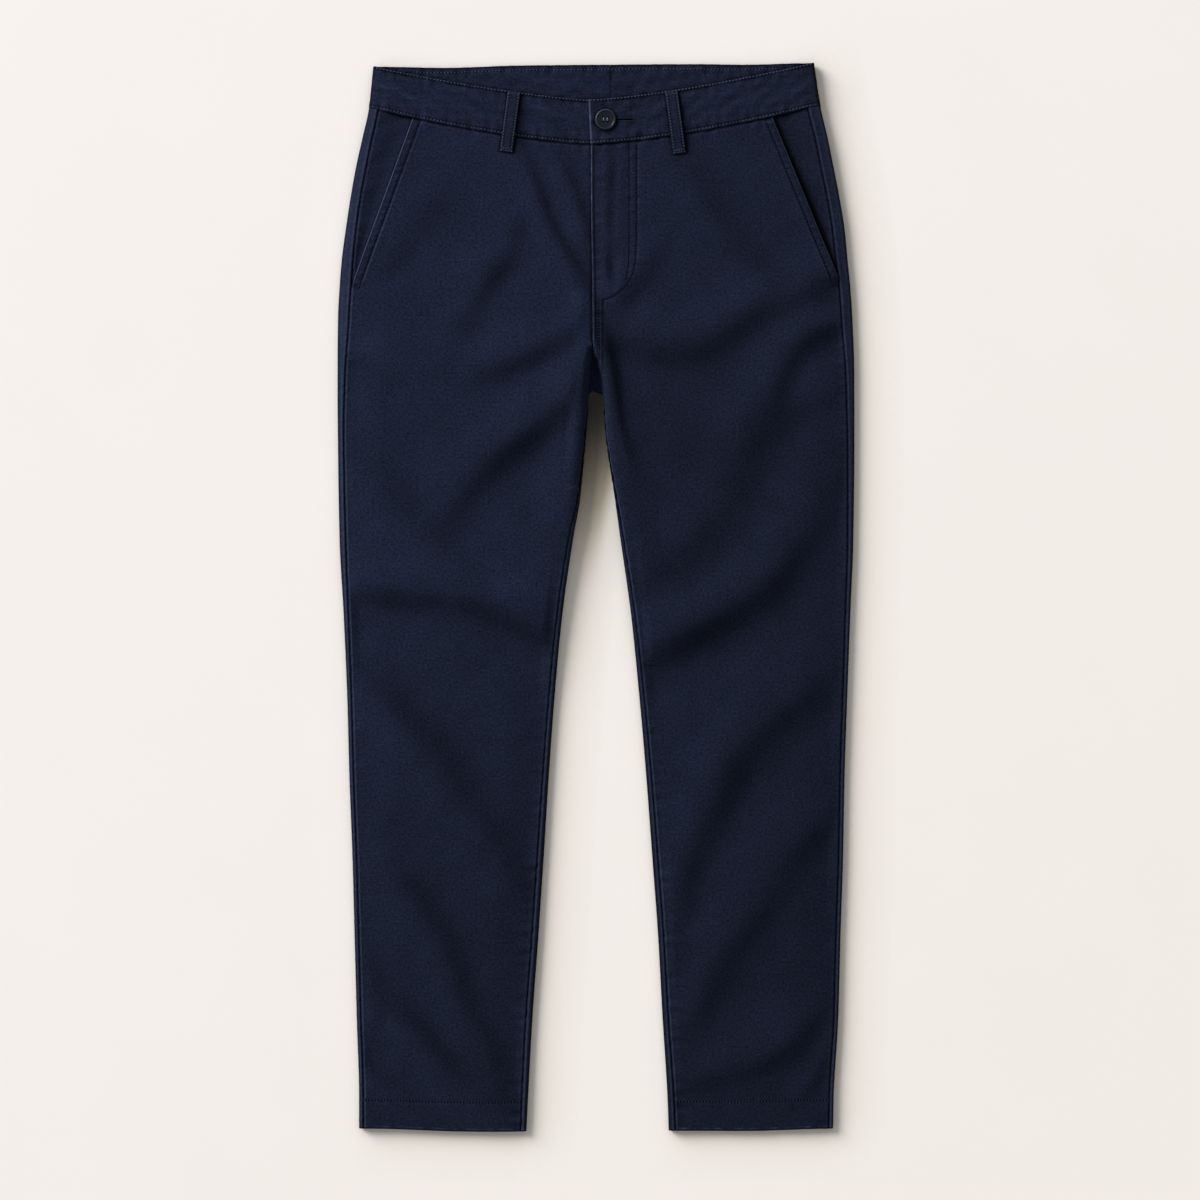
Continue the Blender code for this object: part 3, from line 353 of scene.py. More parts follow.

# ---- bells, spans and ripples

# Bells across a line: for each, its distance from the line, its half width, and its height or its wear. Dark
# bells of wear are painted shade; pale ones are painted highlights, most of them with wear.
PROFILES = {
    "back_sag": ((-144.0, 44.0, -1.8), (146.0, 36.0, -1.1)),
    "hem_drop": ((-100.0, 60.0, -1.0), (130.0, 40.0, -0.3)),
    "seam": ((2.0, 1.2, 0.32), (0.0, 0.6, -0.7)),  # it rolls down into the seam, over the turned allowance
    "seam_painted_shade": ((0.0, 0.6, -0.9),),
    "seam_wear_and_highlight": ((1.9, 0.7, 1.0),),
    "fold": ((0.0, 0.45, -0.75),),  # a folded free edge, rounded at the very edge
    "mouth_gape": ((0.0, 16.0, 1.0),),
    "mouth_wear_and_highlight": ((0.3, 0.7, 1.0),),
    "mouth_painted_shade": ((1.9, 0.6, -0.4), (POCKET_STITCH_IN / 2, 3.0, -0.06)),
    "pocket": ((0.0, 0.9, -0.45), (2.6, 1.8, 0.25)),
    "pocket_wear_and_highlight": ((2.0, 0.8, 1.0),),
    "pocket_painted_shade": ((0.0, 0.8, -0.6),),
    "waist": ((0.0, 1.0, -0.4),),
    "waist_painted_shading": ((0.3, 1.1, -1.0), (3.0, 1.0, 0.2)),
    "hem_stitch": ((HEM_STITCH, 1.2, -0.35),),
    "hem_rope": ((20.0, 14.0, 0.14),),
    "hem_ends": ((0.0, 5.0, 1.0),),
    "hem_rub": ((HEM_STITCH - 2.4, 0.9, 0.1), (2.2, 0.8, 0.5)),
    "hem_dye": ((HEM_STITCH, 0.9, -0.12), (0.0, 1.0, -1.0)),
    "hem_layer_rub": ((0.0, 1.0, 0.5),),
    "loop_shade": ((0.0, 0.9, 1.0),),
    "loop_far_shade": ((0.0, 2.0, 1.0),),
    "loop_foot_shade": ((0.3, 1.0, 1.0),),
    "fly_foot": ((-1.2, 1.3, 1.0),),
    "fly_stitch": ((0.0, 1.1, -0.38),),
    "fly_stitch_painted_shade": ((0.0, 0.8, -0.2),),
    "fly_outside": ((2.4, 1.5, 0.2),),
    "fly_outside_wear_and_highlight": ((2.0, 1.0, 0.2),),
    "fly_valley": ((16.5, 4.0, 1.0),),
    "fly_ridges": ((8.0, 3.5, 0.6), (24.0, 4.0, 0.5)),
    "fly_edge_wear_and_highlight": ((0.4, 0.65, 1.15),),
    "fly_painted_shade": ((2.6, 0.8, -0.9),),
    "strip_edge_painted_shading": ((-0.7, 0.7, 0.3), (0.7, 0.7, -0.7)),
    "strip_wear_and_highlight": ((0.8, 0.7, 0.35),),
    "bulge": ((0.0, 2.2, 0.45),),
    "inner_painted_shade": ((0.0, 1.5, -1.2),),
    "left_side_painted_shade": ((0.0, 0.8, -1.0),),
    "left_side_rub": ((2.5, 1.2, 0.25),),
    "right_side_painted_shade": ((0.0, 1.1, -1.0),),
    "band_low": ((0.0, 0.6, -0.6), (BAND_LOW_STITCH, 0.7, -0.28)),
    "band_top": ((0.0, 0.6, -0.6), (BAND_TOP_STITCH + 1.0, 0.8, -0.25)),
    "band_start": ((0.0, 0.6, -0.5),),
    "band_end": ((0.0, 0.8, -0.3),),
    "band_tuck_low": ((BAND_LOW_STITCH, 1.0, 0.16),),
    "band_tuck_top": ((BAND_TOP_STITCH, 1.0, 0.16),),
    "band_side": ((0.0, 6.0, -0.75),),
    "band_low_wear_and_highlight": ((1.6, 0.7, 0.4),),
    "band_top_wear_and_highlight": ((0.4, 0.6, 0.5),),
    "band_low_painted_shade": ((0.0, 0.6, -0.9), (BAND_LOW_STITCH + 1.2, 0.65, -0.75)),
    "band_top_painted_shade": ((BAND_TOP_STITCH + 1.5, 0.7, -0.8),),
    "band_side_painted_shade": ((0.0, 1.5, -1.1),),
    "band_start_wear_and_highlight": ((0.5, 1.0, 1.3),),
    "buttonhole_painted_shade": ((2.0, 0.6, -0.9), (0.0, 0.6, -0.5)),
    "button_painted_shadow": ((0.8, 1.1, -0.9),),
    "lining": ((INNER_BAND_STITCH, 0.9, -0.25), (0.0, 0.6, -0.5)),
    "lining_painted_shading": ((0.2, 1.7, -1.0), (2.4, 0.8, 0.3)),
    "lining_end_painted_shade": ((0.0, 0.8, -0.45),),
    "lining_low_painted_shadow": ((0.9, 1.0, -0.85),),
    "facing_top_dye": ((0.0, 0.9, -0.9),),
    "loop_edge": ((0.0, 0.5, -0.7), (LOOP_STITCH, 0.6, -0.22)),
    "loop_middle": ((0.0, 2.5, 0.1),),
    "loop_top": ((0.0, 0.6, -0.5),),
    "loop_foot": ((0.0, 0.6, -0.5), (2.6, 0.8, -0.3)),
    "loop_edge_painted_shading": ((1.1, 0.5, 0.7), (0.0, 0.45, -1.0), (2.9, 0.6, -0.6)),
    "loop_foot_painted_shading": ((0.0, 0.4, -0.6), (1.0, 0.7, 0.9), (3.1, 0.8, -0.9)),
    "back_loop": ((0.0, 0.8, 0.3), (LOOP_STITCH, 0.8, 0.2)),
    "back_loop_rub": ((0.0, 0.9, 0.6),),
}

# Where something begins, and where it is fully there
SPANS = {
    "hem_right": (-130.0, -220.0),
    "hem_left": (150.0, 230.0),
    "hem_low": (HEM_LIFT_HEIGHT, 0.0),
    "fly_lean": (CROTCH, CROTCH + 200.0),
    "fly_lean_width": (40.0, 0.0),
    "bend": (DIP_START, WAIST_SEAM),
    "pocket": (0.0, 6.0),  # above the lower end of its mouth
    "piping": (0.6, -1.0),  # past its topstitch
    "piping_fade": (0.0, 150.0),
    "mouth_gape": (0.0, 60.0),  # below the waist seam
    "above_crotch": (CROTCH + 4.0, CROTCH + 12.0),
    "low_leg": (500.0, 150.0),
    "hem": (HEM_STITCH + 1.4, HEM_STITCH - 1.2),
    "loop_start": (-0.5, 0.5),
    "loop_end": (1.0, -1.0),
    "loop_below": (1.0, 0.0),
    "fly_above": (282.0, 286.0),
    "fly_width": (39.5, 37.5),
    "fly_height": (284.0, 288.0),  # above the J's curve
    "fly_drape": (288.0, 302.0),
    "fly_edge_paleness": (290.0, 420.0),
    "strip_below": (214.0, 220.0),
    "strip_above": (288.0, 285.0),
    "strip_width": (0.6, -0.6),
    "back_inseam": (0.0, -10.0),  # above the back's crotch
    "back_crotch": (-16.0, 0.0),
    "back_crotch_width": (32.0, 22.0),
    "strip_height": (3.5, 5.5),  # above the table
    "strip_from_side": (0.8, 2.3),
    "strip_from_seam": (1.0, 2.5),
    "facing_low": (420.0, 360.0),
    "button": (6.0, 0.0),
    "band_end": (186.0, 202.0),
    "loop_on_band": (0.86, 0.72),
}

# Ripples that a seam draws in beside it: their height, how far they reach from the seam, and their lengths
CLOSE_RIPPLES = (7.3, 9.1, 12.7, 17.0)
PUCKERS = {
    "outseam": (0.2, 8.0, CLOSE_RIPPLES),
    "inseam": (0.26, 11.0, (10.3, 12.9, 15.7, 21.0)),
    "pocket": (0.24, 5.0, CLOSE_RIPPLES),
    "ladder": (1.0, 2.6, (5.3, 6.7, 8.3)),
    "waist": (0.4, 9.0, (9.7, 13.1, 17.9, 26.0)),
    "fly": (0.22, 4.0, CLOSE_RIPPLES),
    "fly_edge": (0.35, 5.0, (8.7, 11.9, 16.3)),
    "back": (0.2, 4.0, CLOSE_RIPPLES),
    "facing": (0.2, 5.0, CLOSE_RIPPLES),
    "band_low": (0.38, 9.0, (9.7, 13.1, 17.9, 24.0)),
    "band_top": (0.26, 7.0, (9.1, 12.3, 16.1)),
    "lining": (0.3, 6.0, (8.7, 11.3, 15.1)),
}
CLOTH_RIPPLES = (19.0, 23.0, 29.0, 37.0, 47.0, 26.0, 33.0)
BAND_RIPPLES = (23.0, 31.0, 41.0, 19.0, 57.0)
FINE_LINING_RIPPLES = (17.0, 23.0, 37.0)
LINING_RIPPLES = (14.0, 22.0, 35.0, 27.0)
LOOP_RIPPLES = (9.0, 13.0, 7.0)
FACING_RIPPLES = (15.0, 21.0, 31.0)

# ---- fineness of the surfaces

# Rows of the panels, from one height to the next at this step
ROW_BANDS = (
    (0.0, 32.0, 1.1),
    (32.0, 700.0, 2.3),
    (700.0, 770.0, 1.4),
    (770.0, 980.0, 2.3),
    (980.0, WAIST_SEAM, 0.8),
)
EDGE_COLUMNS = (0.0, 0.12, 0.3, 0.55, 0.9, 1.4, 2.0, 2.8, 3.8, 5.0)
BAND_EDGE_ROWS = np.array([0.0, 0.25, 0.6, 1.1, 1.7, 2.4, 3.3, 4.5])
LOOP_EDGE_COLUMNS = np.array([-6.3, -6.2, -6.0, -5.6, -5.2, -4.8, -4.4, -4.0, -3.6, -3.2, -2.7, -1.4])
CLOTH_SHARP = 50.0  # degrees between faces from which an edge is sharp
BUTTON_SHARP = 60.0
SHORT_POINTS = 24  # of a curve's rounded parts and strips
LONG_POINTS = 250
TOUCHING = 1e-6


def column(table, names, name):
    """One named column of a table as an array."""
    return np.array([row[names.index(name)] for row in table])


def follow(table, names, name, at):
    """A table's column as a smooth curve of height: cubic pieces that never overshoot the rows.

    A row's slope is the harmonic mean of the slopes on its two sides, or none where they differ in sign.
    """
    knots = column(table, names, "height")
    values = column(table, names, name)
    steps = np.diff(values) / np.diff(knots)
    product = steps[1:] * steps[:-1]
    total = steps[1:] + steps[:-1]
    mean = np.where(product > 0, 2 * product / np.where(product > 0, total, 1.0), 0.0)
    slopes = np.concatenate([steps[:1], mean, steps[-1:]])
    at = np.clip(at, knots[0], knots[-1])
    i = np.clip(np.searchsorted(knots, at, side="right") - 1, 0, len(knots) - 2)
    step = knots[i + 1] - knots[i]
    t = (at - knots[i]) / step
    rise = values[i + 1] - values[i]
    start = slopes[i] * step - rise
    end = rise - slopes[i + 1] * step
    return values[i] + t * rise + t * (1 - t) * ((1 - t) * start + t * end)


def ease(t):
    """Rises smoothly from 0 at t = 0 to 1 at t = 1."""
    t = np.clip(t, 0.0, 1.0)
    return t * t * (3 - 2 * t)


def hump(distance, width):
    """A bell: exp(-(distance / width) squared)."""
    return np.exp(-((distance / width) ** 2))


def profile(name, distance):
    """A sum of bells across a line, at this distance from it."""
    return sum(height * hump(distance - offset, width) for offset, width, height in PROFILES[name])


def span(name, value):
    """Rises smoothly from 0 where the span begins to 1 where it ends."""
    start, end = SPANS[name]
    return ease((value - start) / (end - start))


def puckers(name, distance, along, seed):
    """Waves along a seam that fade away from it."""
    height, reach, lengths = PUCKERS[name]
    return height * ripples(along, seed, *lengths) * hump(distance, reach)


def y_of(height):
    return height - LENGTH / 2


def y_to_height(y):
    return y + LENGTH / 2


def side_sign(side):
    return 1.0 if side == "left" else -1.0


def outer_x(side, height):
    return follow(OUTSEAM, SEAM_COLUMNS, side + "_x", height)


def inner_x(side, height):
    """The front's inner edge: the leg's, or the centre line above the crotch."""
    leg = follow(INSEAM, SEAM_COLUMNS, side + "_x", height)
    return np.where(np.asarray(height) < CROTCH, leg, CENTRE_X) + side_sign(side) * SEAM_GAP / 2


def back_centre_x(height):
    """The centre back seam, above the crotch."""
    return CENTRE_X + BACK_LEAN * ease((height - CROTCH) / (WAIST_SEAM - CROTCH))


def back_inner_x(side, height):
    """The back's inner edge: the leg's, which turns in to the centre back seam just above its crotch."""
    centre = back_centre_x(height) + side_sign(side) * CENTRE_GAP / 2
    leg = inner_x(side, height)
    return leg + (centre - leg) * ease((height - BACK_CROTCH) / BACK_JOINING)


def loft(name, height):
    return follow(LOFT, LOFT_COLUMNS, name, height)


def waves(x, y, seed, lengths, spread=np.pi):
    """Uneven waves about 1 high: sines of these lengths, each in its own direction and phase."""
    random = np.random.default_rng(seed)
    total = np.zeros(np.broadcast(x, y).shape)
    for length in lengths:
        angle = random.uniform(-spread, spread)
        phase = random.uniform(0.0, 2 * np.pi)
        run = (x * np.cos(angle) + y * np.sin(angle)) / length
        total += np.sin(2 * np.pi * run + phase)
    return total / np.sqrt(len(lengths) / 2)


def ripples(along, seed, *lengths):
    """Uneven waves along a line, about 1 high."""
    return waves(along, 0.0 * along, seed, lengths, spread=0.0)


def folds(x, y):
    """The creases' height and painted light and shade: sums of drops rise * -t * exp((1 - t * t) / 2).

    t is the distance across the crease, over the steep width as far as the crest or the trough, where it is
    1, and over the gentle width beyond.
    """
    total, dye_with_painted_shading = np.zeros(np.broadcast(x, y).shape), np.zeros(np.broadcast(x, y).shape)
    for seed, (x0, y0, x1, y1, bow, rise, steep, gentle, tone, lean) in enumerate(FOLDS):
        length = np.hypot(x1 - x0, y1 - y0)
        along_x, along_y = (x1 - x0) / length, (y1 - y0) / length
        along = ((x - x0) * along_x + (y - y0) * along_y) / length
        across = (x - x0) * along_y - (y - y0) * along_x - 4 * bow * along * (1 - along)
        across = across - FOLD_WANDER * ripples(along * length, 100 + seed, 131.0, 197.0)
        beyond = np.maximum(np.abs(across) - steep, 0.0)
        t = np.sign(across) * (np.minimum(np.abs(across) / steep, 1.0) + beyond / gentle)
        reach = ease((along + FOLD_END) / (2 * FOLD_END)) * ease((1 + FOLD_END - along) / (2 * FOLD_END))
        uneven = FOLD_UNEVEN * ripples(along * length, 200 + seed, 113.0, 179.0)
        reach = reach * (1 + uneven + lean * (1 - 2 * np.clip(along, 0.0, 1.0)))
        total -= rise * reach * t * np.exp((1 - t * t) / 2)
        dye_with_painted_shading += tone * reach * (0.5 * hump(across + steep + 0.6 * gentle, 0.8 * gentle) - hump(across, steep))
    return total, dye_with_painted_shading


def painted_shade_patches(x, y):
    """Broad bells of painted shade."""
    return sum(tone * hump(x - x0, width) * hump(y - y0, length) for x0, y0, width, length, tone in PAINTED_SHADE_PATCHES)


def top_z(side, x, height, y):
    """The upper surface: it falls from the sides to the middle, carries the folds and rests on what is below.

    The last step is a soft floor: least + r * log(1 + exp((z - least) / r)).
    """
    from_outer = np.abs(x - outer_x(side, height)) - loft("side_round", height)
    from_inner = np.abs(x - inner_x(side, height)) - loft("inner_round", height)
    apart = ease((CROTCH + CROTCH_RISE - height) / CROTCH_RISE)
    near_inner = apart * (1 - ease(from_inner / MIDDLE_RUN))
    calm = ease(from_outer / FOLD_FADE) * (1 - apart * (1 - ease(from_inner / FOLD_FADE)))
    middle, least = loft("middle", height), loft("least", height)
    z = middle + (loft("side_top", height) - middle) * (1 - ease(from_outer / MIDDLE_RUN))
    z = z + (loft("inner_top", height) - middle) * near_inner + folds(x, y)[0] * calm
    return least + LEAST_ROUND * np.logaddexp(0.0, (z - least) / LEAST_ROUND)


def waist_dip(x, depth, power):
    """How far below its sides the front of the waist lies: deepest at the centre, none at the sides."""
    reach = np.clip(np.abs(x - CENTRE_X) / WAIST_HALF, 0.0, 1.0)
    return -depth * (1 - reach**power)


def tilt(x, rise):
    return rise * np.clip(x / WAIST_HALF, -1.0, 1.0)


def seam_shift(x, on_top):
    """How far the waist seam lies from its height at the sides: its tilt, and on the front its dip."""
    return tilt(x, SEAM_TILT) + np.where(on_top, waist_dip(x, SEAM_DIP, SEAM_DIP_POWER), 0.0)


def edge_shift(x, on_top):
    """The same for the waistband's upper edge, which on the back sags a little on each side of the middle."""
    dip = waist_dip(x, EDGE_DIP, EDGE_DIP_POWER)
    return tilt(x, EDGE_TILT) + np.where(on_top, dip, profile("back_sag", x))


def row_y(x, height, on_top):
    """A row's points: straight across the legs, bending with the waist towards the top of the front."""
    lift = HEM_LIFT * (span("hem_right", x) + span("hem_left", x)) + profile("hem_drop", x)
    return y_of(height) + span("bend", height) * seam_shift(x, on_top) + span("hem_low", height) * lift


def run_along(curves):
    """Length along each row's curve up to each of its points."""
    steps = np.linalg.norm(np.diff(curves, axis=1), axis=2)
    return np.concatenate([np.zeros((len(curves), 1)), np.cumsum(steps, axis=1)], axis=1)


def resample(curves, lengths):
    """Points at these lengths along each row's curve: straight between the curve's own points."""
    run = run_along(curves)
    rows = np.arange(len(curves))[:, None]
    k = (run[:, None, :] <= lengths[:, :, None]).sum(axis=2) - 1
    k = np.clip(k, 0, curves.shape[1] - 2)
    step = np.maximum(run[rows, k + 1] - run[rows, k], 1e-9)
    t = np.clip((lengths - run[rows, k]) / step, 0.0, 1.0)[..., None]
    return curves[rows, k] * (1 - t) + curves[rows, k + 1] * t


def row_heights():
    """Heights of the rows: finer at the hem, round the crotch and on the seat."""
    parts = [np.linspace(a, b, round((b - a) / step) + 1)[:-1] for a, b, step in ROW_BANDS]
    return np.concatenate(parts + [[WAIST_SEAM]])


def stack(x, y, z):
    return np.stack(np.broadcast_arrays(x, y, z), axis=-1)


def sections(side):
    """The outer surface of one half, a row for each height: the front's curves and the back's.

    A front's curve runs from the inseam, or the centre front, over the top to the outseam. A back's runs from
    the outseam round the side, along the table and up to the inseam, and comes with its lengths up to the
    table and to the table's end. A rounded edge is a quarter ellipse above its middle and another below it.
    Where a piece of curve isn't needed in a row, its points all lie at its start.
    """
    out = side_sign(side)
    h = row_heights()[:, None]
    outer, inner = outer_x(side, h), inner_x(side, h)
    low, outer_round, inner_round = loft("underside", h), loft("side_round", h), loft("inner_round", h)
    quarter = np.pi / 2
    turn = quarter * np.clip((h - CROTCH) / CROTCH_TURN, 0.0, 1.0)
    back_turn = quarter * np.clip((h - BACK_CROTCH) / CROTCH_TURN, 0.0, 1.0)
    out_inset = follow(OUTSEAM, SEAM_COLUMNS, side + "_inset", h)
    in_inset = np.where(h < BACK_CROTCH, follow(INSEAM, SEAM_COLUMNS, side + "_inset", h), 0.0)
    out_angle = np.arccos(np.clip(1 - out_inset / outer_round, 0.0, 1.0))
    in_angle = np.arccos(np.clip(1 - in_inset / inner_round, 0.0, 1.0))

    def top(x):
        y = row_y(x, h, True)
        return stack(x, y, top_z(side, x, h, y))

    def edge(end_x, direction, radius, angles, end_angle, middle, high):
        x = end_x + direction * radius * (np.cos(end_angle) - np.cos(angles))
        reach = np.where(angles > 0, high - middle, middle - low)
        return stack(x, row_y(x, h, angles > 0), middle + reach * np.sin(angles))

    inner_high = top(inner + out * inner_round)[..., 2]
    outer_high = top(outer - out * outer_round)[..., 2]
    outer_middle = (low + outer_high) / 2
    inner_middle = (low + loft("inner_top", h)) / 2
    lowered = ease((h - BACK_CROTCH + SEAM_LOWERING) / SEAM_LOWERING)
    inner_middle = inner_middle + (SEAM_LOW - inner_middle) * lowered
    short, long = (np.linspace(0.0, 1.0, count)[None] for count in (SHORT_POINTS, LONG_POINTS))

    first = np.maximum(in_angle, turn)
    in_start = inner + out * np.maximum(in_inset, inner_round * np.cos(turn))
    rounded = edge(inner, out, inner_round, first + (quarter - first) * short, turn, inner_middle, inner_high)
    rounded = np.where((first >= quarter - TOUCHING)[..., None], top(in_start), rounded)
    out_end = outer - out * np.maximum(out_inset, outer_round)
    last = quarter + (out_angle - quarter) * short
    falling = edge(outer, -out, outer_round, last, 0.0, outer_middle, outer_high)
    past_round = (out_angle >= quarter - TOUCHING)[..., None]
    falling = np.where(past_round, top(out_end), falling)
    front = [rounded[:, :-1], top(in_start + (out_end - in_start) * long), falling[:, 1:]]
    if side == "right":
        reach = ease((h - CROTCH - FLY_BOTTOM) / FLY_OPENING)
        under = top(in_start + (CENTRE_X + FLY_UNDERLAP - in_start) * reach * (1 - short))
        front.insert(0, np.where((reach > 0)[..., None], under, rounded[:, :1])[:, :-1])
    front = np.concatenate(front, axis=1)
    shift = ease((h - CROTCH) / FLY_BOTTOM) * fly_shift(side, front[..., 0], FLY_UNDERLAP, FLY_SPLIT)
    front[..., 2] += np.where(h > CROTCH, shift, 0.0)

    strip = top(out_end + (outer - out * outer_round - out_end) * short)
    angles = out_angle - (out_angle + quarter) * short
    side_edge = edge(outer, -out, outer_round, angles, 0.0, outer_middle, outer_high)
    strip = np.where(past_round, strip, side_edge[:, :1])
    back_inner = back_inner_x(side, h)
    table_start = outer - out * outer_round
    table_end = back_inner + out * inner_round * np.cos(back_turn)
    table_x = table_start + (table_end - table_start) * long
    table = stack(table_x, row_y(table_x, h, False), low)
    last = np.where(h < BACK_CROTCH, in_angle, -back_turn)
    angles = -quarter + (last + quarter) * short
    rising = edge(back_inner, out, inner_round, angles, back_turn, inner_middle, inner_high)
    inner_strip = top(back_inner + out * (inner_round + (in_inset - inner_round) * short))
    inner_strip = np.where((in_inset > inner_round)[..., None], inner_strip, rising[:, -1:])
    parts = strip[:, :-1], side_edge[:, :-1], table[:, :-1], rising[:, :-1], inner_strip
    back = np.concatenate(parts, axis=1)
    run = run_along(back)
    wrap = run[:, strip.shape[1] + side_edge.shape[1] - 3]
    flat = run[:, strip.shape[1] + side_edge.shape[1] + table.shape[1] - 4]
    return front, back, wrap, flat


def fly_shift(side, x, underlap, split):
    """How the cloth parts at the fly: the left front lifts over the right one, which is pressed down."""
    reach = ease(1 - np.clip(np.abs(x - CENTRE_X) - underlap, 0.0, None) / FLY_EASE)
    return side_sign(side) * split * reach


def mouth_x(side, y):
    """Distance of a slant pocket's mouth from x = 0, at this y."""
    x_top, y_top, x_end, y_end = MOUTHS[side]
    return x_end + (y - y_end) / (y_top - y_end) * (x_top - x_end)


def length_to_mouth(side, curves):
    """Length of each front row up to the pocket's mouth, or its whole length below the pocket."""
    run = run_along(curves)
    past = np.abs(curves[..., 0]) - mouth_x(side, curves[..., 1])
    cut = (past > 0) & (curves[..., 1] > MOUTHS[side][3])
    k = np.maximum(np.argmax(cut, axis=1), 1)
    rows = np.arange(len(curves))
    before, after = past[rows, k - 1], past[rows, k]
    t = np.clip(-before / np.maximum(after - before, 1e-9), 0.0, 1.0)
    crossing = run[rows, k - 1] + t * (run[rows, k] - run[rows, k - 1])
    return np.where(cut.any(axis=1), crossing, run[:, -1])


def front_columns(total):
    """Lengths along a front's rows: dense near the inseam and the fly, dense at the outseam, even between."""
    near = np.concatenate([EDGE_COLUMNS, np.arange(6.5, 45.0, 1.5)]) + SEAM_GAP / 2
    far = np.concatenate([EDGE_COLUMNS, np.arange(6.2, 14.0, 1.2)]) + SEAM_GAP / 2
    rows = len(total)
    ends = total[:, None] - far[::-1][None]
    middle = near[-1] + (ends[:, :1] - near[-1]) * np.linspace(0.0, 1.0, 43)[None, 1:-1]
    return np.concatenate([np.broadcast_to(near, (rows, len(near))), middle, ends], axis=1)


def back_columns(total, wrap, flat):
    """Lengths along a back's rows: dense at both seams and round both edges, wide along the table."""
    start, end = SEAM_GAP / 2, total - SEAM_GAP / 2
    last = np.minimum(flat, end - 10.0)
    dense = 1 - np.cos(np.linspace(0.0, np.pi / 2, 17))
    side = start + (wrap - start)[:, None] * dense[None]
    table = wrap[:, None] + (last - wrap)[:, None] * np.linspace(0.0, 1.0, 26)[None, 1:-1]
    rising = last[:, None] + (end - last)[:, None] * (1 - dense[::-1])[None]
    return np.concatenate([side, table, rising], axis=1)


def unit_normals(points, closed=False):
    """Unit normals of a grid of points: the tangent along the rows crossed with the tangent across them."""
    if closed:
        along = np.roll(points, -1, axis=1) - np.roll(points, 1, axis=1)
    else:
        along = np.gradient(points, axis=1)
    across = np.gradient(points, axis=0)
    across[[0, -1], :, ::2] = 0.0
    normal = np.cross(along, across)
    return normal / np.linalg.norm(normal, axis=2, keepdims=True)


# ---- relief of the sewing


def path_points(path, step=1.0):
    """A path's points every step, corners eased by averaging neighbours, and the length up to each."""
    path = np.array(path, float)
    run = run_of(path)
    at = np.linspace(0.0, run[-1], max(int(run[-1] / step), 2) + 1)
    points = np.stack([np.interp(at, run, path[:, k]) for k in range(2)], axis=1)
    for _ in range(12):
        points[1:-1] = (points[:-2] + 2 * points[1:-1] + points[2:]) / 4
    return points, run_of(points)


def run_of(points):
    """Length along a flat path up to each of its points."""
    return np.concatenate([[0.0], np.cumsum(np.hypot(*np.diff(points, axis=0).T))])


def from_path(path, x, y):
    """Distance of each point from a path, and how far along the path the nearest place is."""
    best = np.full(np.shape(x), 1e9)
    along = np.zeros(np.shape(x))
    for point, run in zip(*path_points(path)):
        distance = np.hypot(x - point[0], y - point[1])
        closer = distance < best
        best = np.where(closer, distance, best)
        along = np.where(closer, run, along)
    return best, along


def pocket_line(side):
    """A pocket's topstitch: its mouth's line moved in towards the fly."""
    x_top, y_top, x_end, y_end = MOUTHS[side]
    out = side_sign(side)
    top, end = np.array([x_top * out, y_top]), np.array([x_end * out, y_end])
    run = (end - top) / np.linalg.norm(end - top)
    moved = np.array([run[1], -run[0]]) * out * POCKET_STITCH_IN + run * POCKET_STITCH_ON
    return tuple(top + moved), tuple(end + moved)


def seam_wear_and_painted_shade(distance, ridge):
    """Paler by ridge beside a seam, worn and with a painted highlight; painted shade in the seam itself."""
    return ridge * profile("seam_wear_and_highlight", distance) + profile("seam_painted_shade", distance)


def hem_relief(side, x, height):
    """The turned hem: a thicker, slightly roped band with its stitch sunk in, flat at the seams."""
    below = span("hem", height)
    rope = ripples(x + ROPE_SLANT * height, 31, 8.3, 10.9, 14.1, 21.0)
    at_ends = profile("hem_ends", x - outer_x(side, height)) + profile("hem_ends", x - inner_x(side, height))
    relief = HEM_RAISE * below + profile("hem_stitch", height) + rope * below * profile("hem_rope", height)
    return relief * (1 - np.clip(at_ends, 0.0, 1.0))


def hem_wear_and_painted_shade(x, height):
    """Painted shade in the hem's stitching and at its very edge, and paler patches just above that, of wear
    with a painted highlight.
    """
    patchy = 0.6 + 0.4 * ripples(x, 33, 11.0, 17.0, 29.0)
    return patchy * profile("hem_rub", height) + profile("hem_dye", height)


def loop_frame(upper, lower):
    """A front loop's two ends, the way down it and its length."""
    upper, lower = np.array(upper), np.array(lower)
    length = np.linalg.norm(lower - upper)
    return upper, lower, (lower - upper) / length, length


def loop_shade(x, y):
    """The shade round the front belt loops: close to their outlines, and wider on their left."""
    total = 0.0 * x
    for _, *ends in FRONT_LOOPS:
        upper, _, way, length = loop_frame(*ends)
        along = (x - upper[0]) * way[0] + (y - upper[1]) * way[1]
        aside = (x - upper[0]) * -way[1] + (y - upper[1]) * way[0]
        beside = span("loop_start", along) * span("loop_end", along - length)
        out = np.abs(aside) - LOOP_WIDTH / 2
        past = np.maximum(out, 0.0)
        shade = profile("loop_shade", past) + profile("loop_far_shade", past) * (aside > 0)
        below = profile("loop_foot_shade", along - length) * span("loop_below", out)
        total = total - np.clip(shade * beside + below, 0.0, 1.0)
    return total


